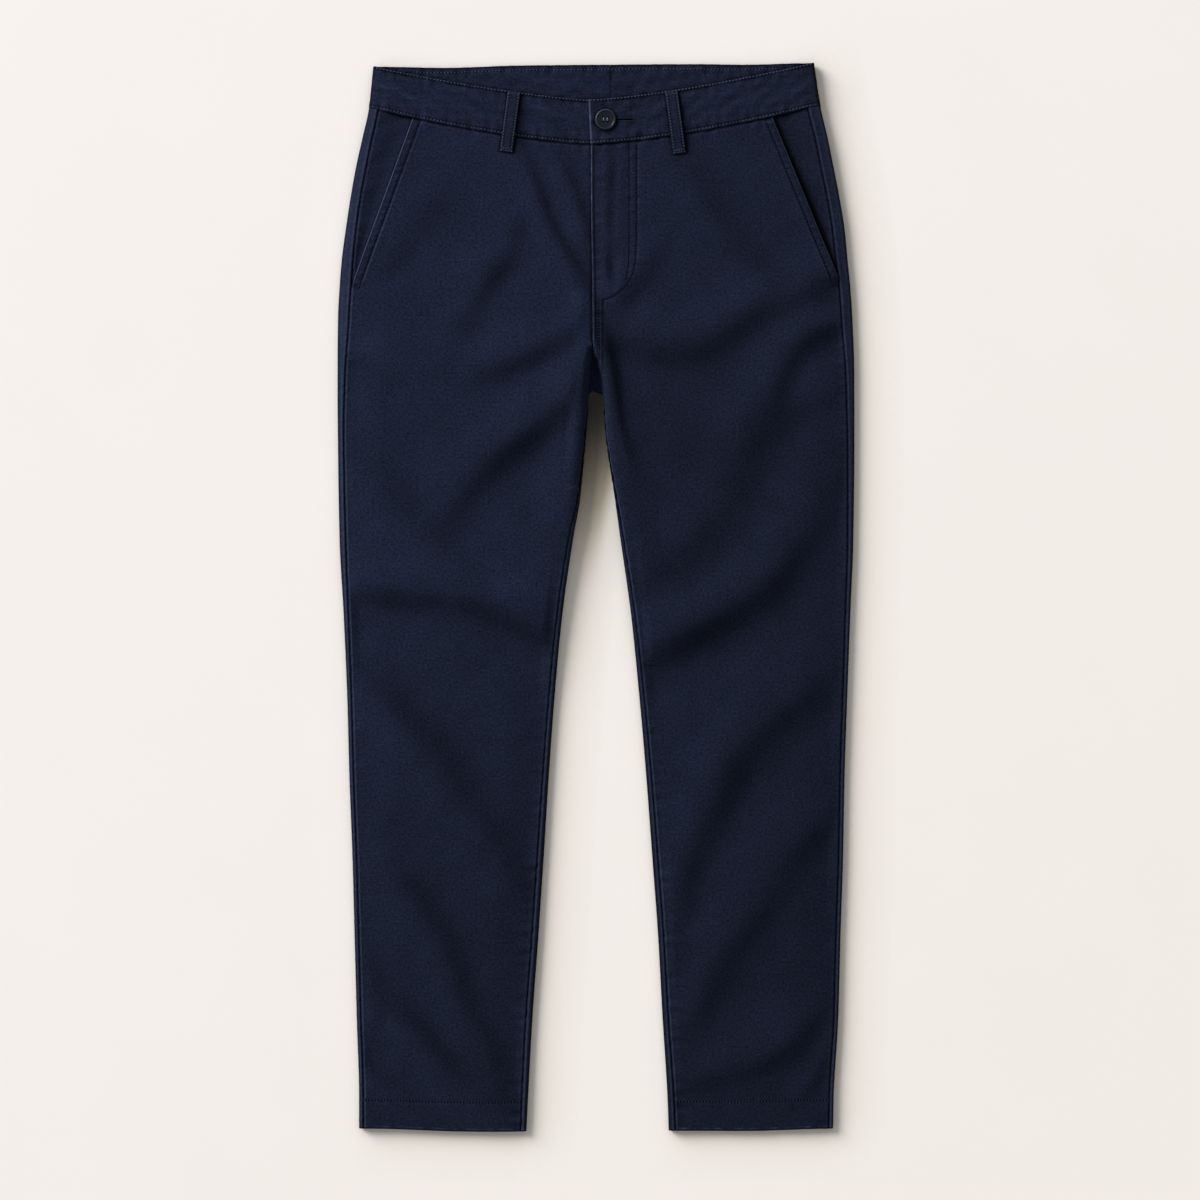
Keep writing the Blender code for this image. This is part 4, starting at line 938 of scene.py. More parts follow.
def front_relief(side, points, start, end, height):
    """How far a front's outer face stands out from its plain form, and its wear with painted light and shade.
    """
    x, y = points[..., 0], points[..., 1]
    seed = 3 if side == "left" else 5
    from_mouth_end, from_waist = y - MOUTHS[side][3], WAIST_SEAM - height
    past_stitch = end - POCKET_STITCH_IN
    at_pocket = span("pocket", from_mouth_end)
    above = span("above_crotch", height)
    sewn_end, sewn_start = 1 - at_pocket, 1 - above
    relief = (profile("seam", end) + puckers("outseam", end, y, seed)) * sewn_end
    drawn = (1 + LOW_LEG_PUCKER * span("low_leg", height)) * puckers("inseam", start, y, seed + 1)
    relief += (profile("seam", start) + drawn) * sewn_start
    if side == "left":
        relief += profile("fold", start) * above
    pocket = profile("fold", end) + PIPING_RAISE * span("piping", past_stitch)
    pocket += profile("pocket", past_stitch) + puckers("pocket", past_stitch + 3.0, y, seed + 2)
    pocket += MOUTH_GAPE[side] * profile("mouth_gape", end) * span("mouth_gape", from_waist)
    ladder = puckers("ladder", past_stitch + 2.6, y, seed + 9)
    relief += at_pocket * (pocket + LADDER_RELIEF * ladder) + hem_relief(side, x, height)
    inner_wear_and_highlight, outer_wear_and_highlight = SEAM_WEAR_AND_HIGHLIGHT[side]
    wear_and_painted_shading = seam_wear_and_painted_shade(start, inner_wear_and_highlight) * sewn_start + seam_wear_and_painted_shade(end, outer_wear_and_highlight) * sewn_end
    piping_wear_and_highlight = PIPING_WEAR_AND_HIGHLIGHT[side] * (1 - PIPING_FADE * span("piping_fade", from_mouth_end))
    # wear with painted highlights at the mouth and past the topstitch, painted shade in the stitching and
    # under the mouth's edge, painted light and shade on the puckers
    pocket_wear_and_painted_shading = MOUTH_WEAR_AND_HIGHLIGHT[side] * profile("mouth_wear_and_highlight", end) + piping_wear_and_highlight * profile("pocket_wear_and_highlight", past_stitch)
    pocket_wear_and_painted_shading += profile("pocket_painted_shade", past_stitch) + profile("mouth_painted_shade", end) + LADDER_PAINTED_SHADING * ladder
    wear_and_painted_shading += at_pocket * pocket_wear_and_painted_shading
    relief, wear_and_painted_shading = fly_relief(side, x, y, start, above, relief, wear_and_painted_shading)
    relief += profile("waist", from_waist) + puckers("waist", from_waist, x, seed + 3)
    relief += CLOTH_RIPPLE * waves(x, y, 11, CLOTH_RIPPLES)
    # painted shade under the waistband's edge, with a little painted light below it
    wear_and_painted_shading += profile("waist_painted_shading", from_waist)
    wear_and_painted_shading += hem_wear_and_painted_shade(x, height) + folds(x, y)[1] + painted_shade_patches(x, y) + loop_shade(x, y)
    return relief, wear_and_painted_shading


def fly_relief(side, x, y, start, above, relief, wear_and_painted_shading):
    """The fly: the left front's facing thickens it out to the J of stitching, and it lies over the right."""
    if side == "right":
        # painted shade at the foot of the left front's edge
        foot = profile("fly_foot", x - CENTRE_X) * above
        return relief - 0.5 * foot, wear_and_painted_shading - foot
    # painted shade in the stitching, and wear with a painted highlight on the ridge outside the J
    for path, seed in ((FLY_STITCH_OUTER, 41), (FLY_STITCH_INNER, 43)):
        distance, along = from_path(path, x, y)
        relief = relief + profile("fly_stitch", distance) + puckers("fly", distance, along, seed)
        wear_and_painted_shading = wear_and_painted_shading + profile("fly_stitch_painted_shade", distance)
        if path is FLY_STITCH_OUTER:
            outside = 1 - np.where(x < FLY_WIDTH, 1.0, 0.0) * span("fly_above", y)
            relief = relief + outside * profile("fly_outside", distance)
            wear_and_painted_shading = wear_and_painted_shading + outside * profile("fly_outside_wear_and_highlight", distance)
    inside = span("fly_width", x) * span("fly_height", y - np.clip(x, 0.0, 40.0) ** 2 / FLY_CURVE)
    drape = span("fly_drape", y) * (0.75 + 0.25 * ripples(y, 45, 47.0, 71.0))
    valley = profile("fly_valley", x - FLY_SWAY * np.sin(y / FLY_SWAY_LENGTH)) * drape
    relief = relief + FLY_RAISE * inside - FLY_VALLEY * valley + profile("fly_ridges", x) * drape
    relief = relief + puckers("fly_edge", x - 2.0, y, 47) * above
    at_strip = span("strip_below", y) * span("strip_above", y)
    past_strip = x - CROTCH_STRIP_EDGE
    relief = relief + STRIP_RAISE * span("strip_width", past_strip) * at_strip
    patchy = 0.8 + 0.2 * ripples(y, 49, 9.0, 15.0, 27.0)
    edge_paleness = (0.4 + 0.6 * span("fly_edge_paleness", y)) * patchy
    # painted shade in the valley, painted light and shade at the strip's edge, and wear with a painted
    # highlight along the fly's edge beside painted shade
    wear_and_painted_shading = wear_and_painted_shading - FLY_VALLEY_PAINTED_SHADE * valley + at_strip * profile("strip_edge_painted_shading", past_strip)
    wear_and_painted_shading = wear_and_painted_shading + above * (edge_paleness * profile("fly_edge_wear_and_highlight", start) + profile("fly_painted_shade", start))
    return relief, wear_and_painted_shading + (1 - above) * at_strip * profile("strip_wear_and_highlight", start)


def back_relief(side, points, start, end, height):
    """How far a back's outer face stands out from its plain form, and its wear with painted light and shade.
    """
    x, y, z = (points[..., k] for k in range(3))
    seed = 7 if side == "left" else 9
    inseam = span("back_inseam", height - BACK_CROTCH)
    relief = profile("seam", start) + puckers("back", start, y, seed)
    relief += (profile("seam", end) + puckers("back", end, y, seed + 1)) * inseam
    relief += hem_relief(side, x, height)
    from_out = np.abs(outer_x(side, height) - x)
    from_in = np.abs(back_inner_x(side, height) - x)
    bulge = profile("bulge", from_out) + profile("bulge", from_in) * inseam
    wear_and_painted_shading = seam_wear_and_painted_shade(start, 0.45) + seam_wear_and_painted_shade(end, 0.35) * inseam + hem_wear_and_painted_shade(x, height) + painted_shade_patches(x, y)
    # painted shade at the inner and outer edges, where they round away
    wear_and_painted_shading += profile("inner_painted_shade", from_in) * inseam + profile(side + "_side_painted_shade", from_out)
    shown = span("strip_height", z)
    if side == "left":
        wear_and_painted_shading += profile("left_side_rub", from_out) * shown
    wear_and_painted_shading += STRIP_WEAR_AND_HIGHLIGHT[side] * shown * span("strip_from_side", from_out) * span("strip_from_seam", start)
    # painted shade on the backs' crotch between the legs
    painted_crotch_shade = span("back_crotch", height - BACK_CROTCH) * span("back_crotch_width", np.abs(x))
    return relief * np.clip(z / RESTING, 0.0, 1.0) + bulge, wear_and_painted_shading - BACK_CROTCH_PAINTED_SHADE * painted_crotch_shade


# ---- meshes


def add_object(name, data):
    """An object of the scene, at the origin and unturned."""
    obj = bpy.data.objects.new(name, data)
    bpy.context.scene.collection.objects.link(obj)
    return obj


def add_mesh(name, points, faces, material, sharp=None):
    """An object from points in millimetres and faces, smooth but for edges sharper than so many degrees."""
    mesh = bpy.data.meshes.new(name)
    mesh.from_pydata((np.reshape(points, (-1, 3)) * MM).tolist(), [], faces)
    mesh.update()
    mesh.shade_smooth()
    if sharp is not None:
        mesh.set_sharp_from_angle(angle=np.radians(sharp))
    mesh.materials.append(material)
    return add_object(name, mesh)


def cloth_uv(points):
    """The weave's own coordinates in metres: lengths across and along the cloth, true in its middle."""
    run = run_along(points)
    middle = points.shape[1] // 2
    sign = np.sign(points[:, middle + 1, 0] - points[:, middle, 0])[:, None]
    across = points[:, middle : middle + 1, 0] + sign * (run - run[:, middle : middle + 1])
    return np.stack([across * MM, points[..., 1] * MM], axis=2)


def joined(grid):
    """A grid of indices with its first column repeated as its last."""
    return np.concatenate([grid, grid[:, :1]], axis=1)


def grid_quads(rows, columns, closed=False):
    """Quads of a grid stored row by row. A closed grid joins its last column to its first."""
    index = np.arange(rows * columns).reshape(rows, columns)
    if closed:
        index = joined(index)
    return np.stack([index[:-1, :-1], index[:-1, 1:], index[1:, 1:], index[1:, :-1]], axis=-1).reshape(-1, 4)


def rim_quads(edge, offset):
    """Quads that join a surface's edge to the same edge of its other side."""
    return np.stack([edge[1:], edge[:-1], edge[:-1] + offset, edge[1:] + offset], axis=1)


def shell(name, side, outside, inside, wear_and_painted_shading, inside_painted_shading, material, closed):
    """A piece of cloth between two grids of points, outside and inside, with its edges closed.

    A right piece's rows are turned round, so that the outside is always on the left of them.
    """
    grids = outside, inside, cloth_uv(outside), wear_and_painted_shading, inside_painted_shading
    if side == "right":
        grids = [grid[:, ::-1] for grid in grids]
    outside, inside, uv, wear_and_painted_shading, inside_painted_shading = grids
    rows, columns = outside.shape[:2]
    count = rows * columns
    outer = grid_quads(rows, columns, closed)
    index = np.arange(count).reshape(rows, columns)
    ends = joined(index) if closed else index
    rims = [rim_quads(ends[0], count), rim_quads(ends[-1][::-1], count)]
    if not closed:
        rims += [rim_quads(index[:, -1], count), rim_quads(index[::-1, 0], count)]
    quads = np.concatenate([outer, outer[:, ::-1] + count] + rims)
    points = np.concatenate([outside.reshape(-1, 3), inside.reshape(-1, 3)])
    piece = add_mesh(name, points, quads.tolist(), material, sharp=CLOTH_SHARP)
    mesh = piece.data
    corners = np.empty(len(mesh.loops), np.int32)
    mesh.loops.foreach_get("vertex_index", corners)
    layer = mesh.uv_layers.new(name="weave")
    layer.data.foreach_set("uv", np.concatenate([uv.reshape(-1, 2)] * 2)[corners].ravel())
    # The attribute holds wear with painted light and shade: painted highlights raise it, painted shade lowers
    # it.
    attribute = mesh.attributes.new("wear_and_painted_shading", "FLOAT", "POINT")
    attribute.data.foreach_set("value", np.concatenate([wear_and_painted_shading.ravel(), inside_painted_shading.ravel()]))
    return piece


def finish_piece(piece, slot, *nodes):
    """Hides the CAD parts that a piece stands in for, and hangs the piece on the root."""
    if nodes:
        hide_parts(*nodes)
    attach(piece, "root")
    return piece


def lay(points, below):
    """Works out the steps across and along a flat piece's grid and lists what is below it, but keeps neither.
    """
    across = np.linalg.norm(np.diff(points, axis=1), axis=2)
    along = np.linalg.norm(np.diff(points, axis=0), axis=2)
    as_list(below)


def make_cloth(node, side, below, material, form, outside, inside, wear_and_painted_shading, inside_painted_shading=None, closed=False):
    """A piece of cloth in place of a CAD node, on what is below: its shell."""
    inside_painted_shading = 0.0 * wear_and_painted_shading if inside_painted_shading is None else inside_painted_shading
    name = "cloth_" + node.removeprefix("pocket_")
    piece = shell(name, side, outside, inside, wear_and_painted_shading, inside_painted_shading, material, closed)
    lay(form, below)
    return finish_piece(piece, "twill", node)


def make_panels(side, material):
    """The front and back of one half: their plain forms, and the relief along normals shared at seams."""
    height = row_heights()[:, None]
    front_curves, back_curves, wrap, flat = sections(side)
    front_total, back_total = length_to_mouth(side, front_curves), run_along(back_curves)[:, -1]
    front_at, back_at = front_columns(front_total), back_columns(back_total, wrap, flat)
    fronts, backs = resample(front_curves, front_at), resample(back_curves, back_at)
    if side == "left":
        fronts[..., 0] -= FLY_LEAN * span("fly_lean", height) * span("fly_lean_width", front_at)
    front_normals, back_normals = unit_normals(fronts), unit_normals(backs)
    outseam = np.linalg.norm(fronts[:, -1] - backs[:, 0], axis=1) < 2 * SEAM_GAP
    inseam = height[:, 0] < BACK_CROTCH + 2.0
    for sewn, a, b in ((outseam, -1, 0), (inseam, 0, -1)):
        shared = front_normals[:, a] + back_normals[:, b]
        shared /= np.linalg.norm(shared, axis=1, keepdims=True)
        front_normals[sewn, a] = shared[sewn]
        back_normals[sewn, b] = shared[sewn]
    made = []
    for node, below, relief_of, form, normal, at, total in (
        ("front_", "back_" + side, front_relief, fronts, front_normals, front_at, front_total),
        ("back_", "table", back_relief, backs, back_normals, back_at, back_total),
    ):
        normal = normal * side_sign(side)
        relief, wear_and_painted_shading = relief_of(side, form, at, total[:, None] - at, height + 0 * at)
        faces = form + normal * relief[..., None], form - normal * CLOTH
        made.append(make_cloth(node + side, side, [below], material, form, *faces, wear_and_painted_shading))
    return made


def make_facing(side, material):
    """The pocket facing: it shows from the pocket's mouth to the side seam, and reaches under the front."""
    out = side_sign(side)
    height = np.linspace(y_to_height(MOUTHS[side][3]) - FACING_BELOW, WAIST_SEAM, 90)[:, None]
    inset = follow(OUTSEAM, SEAM_COLUMNS, side + "_inset", height)
    seam = np.abs(outer_x(side, height)) - inset - SEAM_GAP
    mouth = seam
    for _ in range(6):
        mouth = mouth_x(side, row_y(out * mouth, height, True))
    mouth = np.minimum(mouth, seam)
    shown = seam - mouth
    start = mouth - FACING_UNDERLAP
    x = start + (seam - start) * np.linspace(0.0, 1.0, 34)[None]
    level = ease((x - mouth) / np.maximum(shown, 1.0)) * ease(shown / FACING_LEVEL)
    y = row_y(out * x, height, True)
    sag = hump((x - mouth - 0.35 * shown) / np.maximum(shown, 4.0), 0.4) * ease(shown / FACING_LEVEL)
    z = top_z(side, out * x, height, y) - FACING_DROP * (1 - level) - FACING_SAG * sag
    form = stack(out * x, y, z)
    normal = unit_normals(form) * out
    to_seam = seam - x
    relief = profile("seam", to_seam) + puckers("facing", to_seam, y, 21)
    relief += 0.15 * waves(x, y, 23, FACING_RIPPLES)
    relief = np.where(x < mouth, np.minimum(relief, 0.0), relief)
    depth, reach = MOUTH_SHADE[side]
    # painted shade where the facing sags, beside its mouth, over all of it and under the waistband, with the
    # seam's wear and painted highlight
    wear_and_painted_shading = seam_wear_and_painted_shade(to_seam, 0.45) - FACING_SAG_PAINTED_SHADE * sag - depth * hump(np.maximum(x - mouth, 0.0), reach)
    wear_and_painted_shading += -FACING_SHADE[side] * (1 + 1.5 * span("facing_low", y))
    wear_and_painted_shading += profile("facing_top_dye", WAIST_SEAM - height)
    faces = form + normal * relief[..., None], form - normal * CLOTH
    return make_cloth("pocket_facing_" + side, side, ["back_" + side], material, form, *faces, wear_and_painted_shading)


def waist_top_z(side, x):
    """Height of the front panels' outer face along the waist seam."""
    return top_z(side, x, WAIST_SEAM, row_y(x, WAIST_SEAM, True))


def band_y(x, on_top):
    """The waistband's lower and upper edges."""
    return y_of(WAIST_SEAM + SEAM_GAP + seam_shift(x, on_top)), y_of(BAND_EDGE + edge_shift(x, on_top))


def band_points(side):
    """One half of the waistband: from the centre front, round the side fold, to the centre back."""
    out = side_sign(side)
    tall = BAND_EDGE - WAIST_SEAM
    between = np.linspace(6.0, tall - 6.0, 14)
    at = np.concatenate([BAND_EDGE_ROWS, between, tall - BAND_EDGE_ROWS[::-1]])[:, None]
    share = at / tall
    height = WAIST_SEAM + at
    outer = outer_x(side, height) + out * BAND_PROUD
    fold = outer - out * (SIDE_ROUND + BAND_PROUD)
    start = BAND_START - BAND_SLANT * share if side == "left" else CENTRE_X + BAND_UNDERLAP
    x = start + (fold - start) * np.linspace(0.0, 1.0, 260)[None]
    z = waist_top_z(side, x) + BAND_PROUD + fly_shift(side, x, BAND_UNDERLAP, BAND_SPLIT)
    high, low = z[:, -1:], loft("underside", height) - BAND_PROUD
    angles = np.linspace(np.pi / 2, -np.pi / 2, 17)[None, 1:-1]
    turn_x = fold + (outer - fold) * np.cos(angles)
    turn_z = (high + low) / 2 + (high - low) / 2 * np.sin(angles)
    back_x = fold + (back_centre_x(height) + out * SEAM_GAP / 2 - fold) * np.linspace(0.0, 1.0, 120)[None]
    on_top = np.concatenate([np.ones(x.shape[1], bool), angles[0] > 0, np.zeros(back_x.shape[1], bool)])[None]
    x = np.concatenate([x, turn_x, back_x], axis=1)
    z = np.concatenate([z, turn_z, low + 0.0 * back_x], axis=1)
    low_y, high_y = band_y(x, on_top)
    return stack(x, low_y + share * (high_y - low_y), z), at, tall, on_top


def make_waistband(side, material):
    """One half of the waistband, with its edges rolled and its topstitches sunk in."""
    form, at, tall, on_top = band_points(side)
    normal = unit_normals(form) * side_sign(side)
    x, y = form[..., 0], form[..., 1]
    along = run_along(form)
    low = at + 0 * along
    high, ends, from_side = tall - low, along[:, -1:] - along, x - outer_x(side, WAIST_SEAM + at)
    tuck = ripples(along, 51, STITCH_PITCH, STITCH_PITCH * 1.07)
    cockle = BAND_COCKLE * waves(along, at * 3.0, 57, BAND_RIPPLES)
    relief = profile("band_low", low) + profile("band_top", high) + profile("band_start", along)
    relief += profile("band_end", ends) + cockle + puckers("band_low", low - 2.0, along, 53)
    relief += puckers("band_top", high - 2.0, along, 55)
    relief += tuck * (profile("band_tuck_low", low) + profile("band_tuck_top", high))
    relief *= 1 + profile("band_side", from_side)
    around = np.hypot(x - BUTTON_AT[0], y - BUTTON_AT[1]) - BUTTON_RADIUS
    if side == "left":
        relief -= UNDER_BUTTON * span("button", around)
    lining = profile("lining", high) + profile("band_end", ends) + puckers("lining", high - 4.0, along, 61)
    lining += 0.12 * waves(along, at, 59, FINE_LINING_RIPPLES)
    lining += 0.25 * waves(along, at * 2.0, 63, LINING_RIPPLES)
    patchy = 0.7 + 0.3 * ripples(along, 65, 13.0, 19.0, 31.0)
    # wear with painted highlights near its edges, and painted light and shade on its cockles
    wear_and_painted_shading = patchy * (profile("band_low_wear_and_highlight", low) + profile("band_top_wear_and_highlight", high)) + BAND_COCKLE_PAINTED_SHADING * cockle
    # painted shade in its stitching, along its edges and at its side fold
    wear_and_painted_shading += profile("band_low_painted_shade", low) + profile("band_top_painted_shade", high) + profile("band_side_painted_shade", from_side)
    # wear with a painted highlight at its end by the fly, and the painted shade round the loops
    wear_and_painted_shading += profile("band_start_wear_and_highlight", along) + loop_shade(x, y) * on_top
    # painted light and shade at its sides
    wear_and_painted_shading += on_top * BAND_END_PAINTED_SHADING[side] * span("band_end", np.abs(x))
    if side == "left":
        slit = np.hypot(x - np.clip(x, *SLIT_ENDS), y - BUTTON_AT[1])
        # painted shade round the buttonhole, and the button's painted shadow round it
        wear_and_painted_shading += on_top * (profile("buttonhole_painted_shade", slit) + profile("button_painted_shadow", around))
    # painted shade on the lining along its upper edge and at its ends, and the front band's painted shadow on
    # it
    inside_painted_shading = profile("lining_painted_shading", high) + profile("lining_end_painted_shade", ends)
    inside_painted_shading += profile("lining_low_painted_shadow", y - band_y(x, True)[1])
    outside = form + normal * (relief * np.where(on_top, 1.0, BAND_UNDER_RELIEF))[..., None]
    inside = form - normal * (BAND_CLOTH + lining)[..., None]
    below = ["front_" + side, "back_" + side]
    return make_cloth("waistband_" + side, side, below, material, form, outside, inside, wear_and_painted_shading, inside_painted_shading)


def make_hem(side, material):
    """The turned-up hem: a second layer inside the leg's end, all the way round."""
    front_curves, back_curves, wrap, flat = sections(side)
    keep = row_heights() <= HEM_HEIGHT
    front_total, back_total = run_along(front_curves)[:, -1], run_along(back_curves)[:, -1]
    front = resample(front_curves[keep], front_columns(front_total)[keep][:, ::2])
    back = resample(back_curves[keep], back_columns(back_total, wrap, flat)[keep])
    seam_out, seam_in = (front[:, -1:] + back[:, :1]) / 2, (front[:, :1] + back[:, -1:]) / 2
    points = np.concatenate([seam_in, front[:, 1:-1], seam_out, back[:, 1:-1]], axis=1)
    normal = unit_normals(points, closed=True) * side_sign(side)
    outside = points - normal * (CLOTH + SEAM_GAP)
    inside = outside - normal * HEM_CLOTH
    wear_and_painted_shading = profile("hem_layer_rub", points[..., 1] - y_of(0.0))
    node, below, form = "hem_" + side, ["back_" + side], joined(outside)
    return make_cloth(node, side, below, material, form, outside, inside, wear_and_painted_shading, closed=True)


def make_front_loop(name, upper, lower, material):
    """A belt loop on the front: it lies over the waistband, bulging a little, and is sewn down below it."""
    side = name.split("_")[-1]
    upper, lower, way, length = loop_frame(upper, lower)
    across = np.concatenate([LOOP_EDGE_COLUMNS, [0.0], -LOOP_EDGE_COLUMNS[::-1]])[::-1][None]
    share = np.linspace(1.0, 0.0, 60)[:, None]
    centre = upper + share[..., None] * (lower - upper)
    x, y = centre[..., 0] + across * way[1], centre[..., 1] - across * way[0]
    height = np.clip(y_to_height(y) - seam_shift(x, True), 0.0, WAIST_SEAM)
    z = top_z(side, x, height, np.minimum(y, row_y(x, WAIST_SEAM, True))) + SEAM_GAP
    z = z + BAND_PROUD * span("loop_on_band", share) + LOOP_BOW * np.sin(np.pi * share) ** 0.7
    form = stack(x, y, z)
    normal = unit_normals(form)
    normal *= np.sign(normal[..., 2:3])
    edge, from_top, foot = LOOP_WIDTH / 2 - np.abs(across), share * length, (1 - share) * length
    relief = profile("loop_edge", edge) + profile("loop_middle", across) + profile("loop_top", from_top)
    relief = relief + profile("loop_foot", foot) + 0.15 * waves(from_top, across, 71, LOOP_RIPPLES)
    outside = form + normal * (LOOP_CLOTH + LOOP_FULL + relief)[..., None]
    # painted light and shade along the loop's edges and at its foot
    wear_and_painted_shading = profile("loop_edge_painted_shading", edge) + profile("loop_foot_painted_shading", foot)
    below = ["waistband_" + side, "front_" + side]
    return make_cloth(name, "left", below, material, form, outside, form, wear_and_painted_shading)


def make_back_loop(name, x, material):
    """A belt loop on the back: a flat strip between the table and the waistband."""
    top = float(band_y(x, False)[1]) - 1.0
    across = np.linspace(LOOP_WIDTH / 2, -LOOP_WIDTH / 2, 13)[None]
    y = np.linspace(top - BACK_LOOP_LENGTH, top, 30)[:, None]
    edge = LOOP_WIDTH / 2 - np.abs(across) + 0 * y
    outside = stack(x + across, y, profile("back_loop", edge))
    inside = stack(x + across, y, LOOP_CLOTH)
    wear_and_painted_shading = profile("back_loop_rub", edge)
    return make_cloth(name, "left", ["table"], material, outside, outside, inside, wear_and_painted_shading)


# ---- threads


def faces_of(piece):
    """A search tree over a piece's mesh, in metres."""
    mesh = piece.data
    return BVHTree.FromPolygons([v.co for v in mesh.vertices], [tuple(p.vertices) for p in mesh.polygons])


def settle(tree, points, upward=False):
    """The place on a piece straight under each (x, y), or straight over it, and the normal there."""
    start, way = (-0.05, 1.0) if upward else (0.1, -1.0)
    hits = [tree.ray_cast(Vector((x * MM, y * MM, start)), Vector((0.0, 0.0, way))) for x, y in points]
    found = np.array([hit[0] is not None for hit in hits])
    place = np.array([tuple(hit[0]) if hit[0] is not None else (0, 0, 0) for hit in hits]) / MM
    normal = np.array([tuple(hit[1]) if hit[0] is not None else (0, 0, 1) for hit in hits])
    normal *= np.sign(normal[:, 2:3]) * -way
    return found, place, normal


def places_along(rows, pitch, shift):
    """Places every pitch along the rows' paths: on the cloth, with the way ahead along it and its normal.

    rows holds, for each row, a search tree, a path of (x, y) and whether the cloth is met from below.
    """
    places = []
    for tree, path, upward in rows:
        points, run = path_points(path, 0.5)
        at = np.arange(pitch * (0.5 + shift), run[-1], pitch)
        if not len(at):
            continue
        xy, ahead, behind = (
            np.stack([np.interp(at + step, run, points[:, k]) for k in range(2)], axis=1)
            for step in (0.0, LOOK_AHEAD, -LOOK_AHEAD)
        )
        found, place, normal = settle(tree, xy, upward)
        way = settle(tree, ahead, upward)[1] - settle(tree, behind, upward)[1]
        broken = (np.abs(way[:, 2]) > 1.0) | (np.linalg.norm(way, axis=1) > 2.5)
        way = np.where(broken[:, None], np.pad(ahead - behind, ((0, 0), (0, 1))), way)
        found &= np.linalg.norm(way, axis=1) > 1e-6
        places.append((place[found], way[found], normal[found]))
    centre, way, up = (np.concatenate(part) for part in zip(*places))
    way = way / np.linalg.norm(way, axis=1, keepdims=True)
    across = np.cross(up, way)
    across /= np.linalg.norm(across, axis=1, keepdims=True)
    return centre, way, across, np.cross(way, across)


def beads(name, rows, material, pitch, length, radius, lift=0.12, flat=1.0, shift=0.0):
    """Rows of stitches as one mesh: each is a thread that bows out of the cloth and dips back in at its ends.

    A stitch's centre line rises lift * (1 - t * t) - dip * t^4 over its half length t. Its section is a
    hexagon, flat times as high as wide.
    """
    centre, way, across, up = places_along(rows, pitch, shift)
    t = BEAD_RINGS[:, 0]
    rise = lift * (1 - t * t) - STITCH_DIP * flat * t**4
    around = np.arange(BEAD_SIDES) * 2 * np.pi / BEAD_SIDES
    ring = centre[:, None] + way[:, None] * (t * length / 2)[:, None] + up[:, None] * rise[:, None]
    spread = across[:, None, None] * np.cos(around)[:, None]
    spread = spread + up[:, None, None] * flat * np.sin(around)[:, None]
    points = ring[:, :, None] + spread * (radius * BEAD_RINGS[:, 1])[:, None, None]
    count = len(t) * BEAD_SIDES
    sides = grid_quads(len(t), BEAD_SIDES, closed=True)
    caps = np.array([range(BEAD_SIDES)[::-1], range(count - BEAD_SIDES, count)])
    faces = []
    for first in range(0, len(centre) * count, count):
        faces += (sides + first).tolist() + (caps + first).tolist()
    return finish_piece(add_mesh(name, points, faces, material), "twill")


def sewing(name, rows, thread, hole, pitch=STITCH_PITCH, length=STITCH_LENGTH, holes=HOLE_SIZE):
    """Stitches, and the needle holes between them, which show as short dark dashes."""
    beads("stitches_" + name, rows, thread, pitch, length, THREAD_RADIUS)
    beads("needle_holes_" + name, rows, hole, pitch, *holes, lift=0.02, flat=0.12, shift=0.5)


def band_path(side, in_from_edge, from_top, upward=False):
    """A line of stitching along the waistband at this distance from its upper or lower edge."""
    start, end = BAND_STITCH_ENDS[side]
    x = np.linspace(CENTRE_X + BACK_LEAN if upward else start, end, 60)
    low, high = band_y(x, not upward)
    return list(zip(x, high - in_from_edge if from_top else low + in_from_edge))


def hem_path(side, upward=False):
    """The hem's line of stitching, between its seams."""
    x = np.linspace(float(inner_x(side, HEM_STITCH)), float(outer_x(side, HEM_STITCH)), 50)[1:-1]
    return list(zip(x, row_y(x, HEM_STITCH, not upward)))


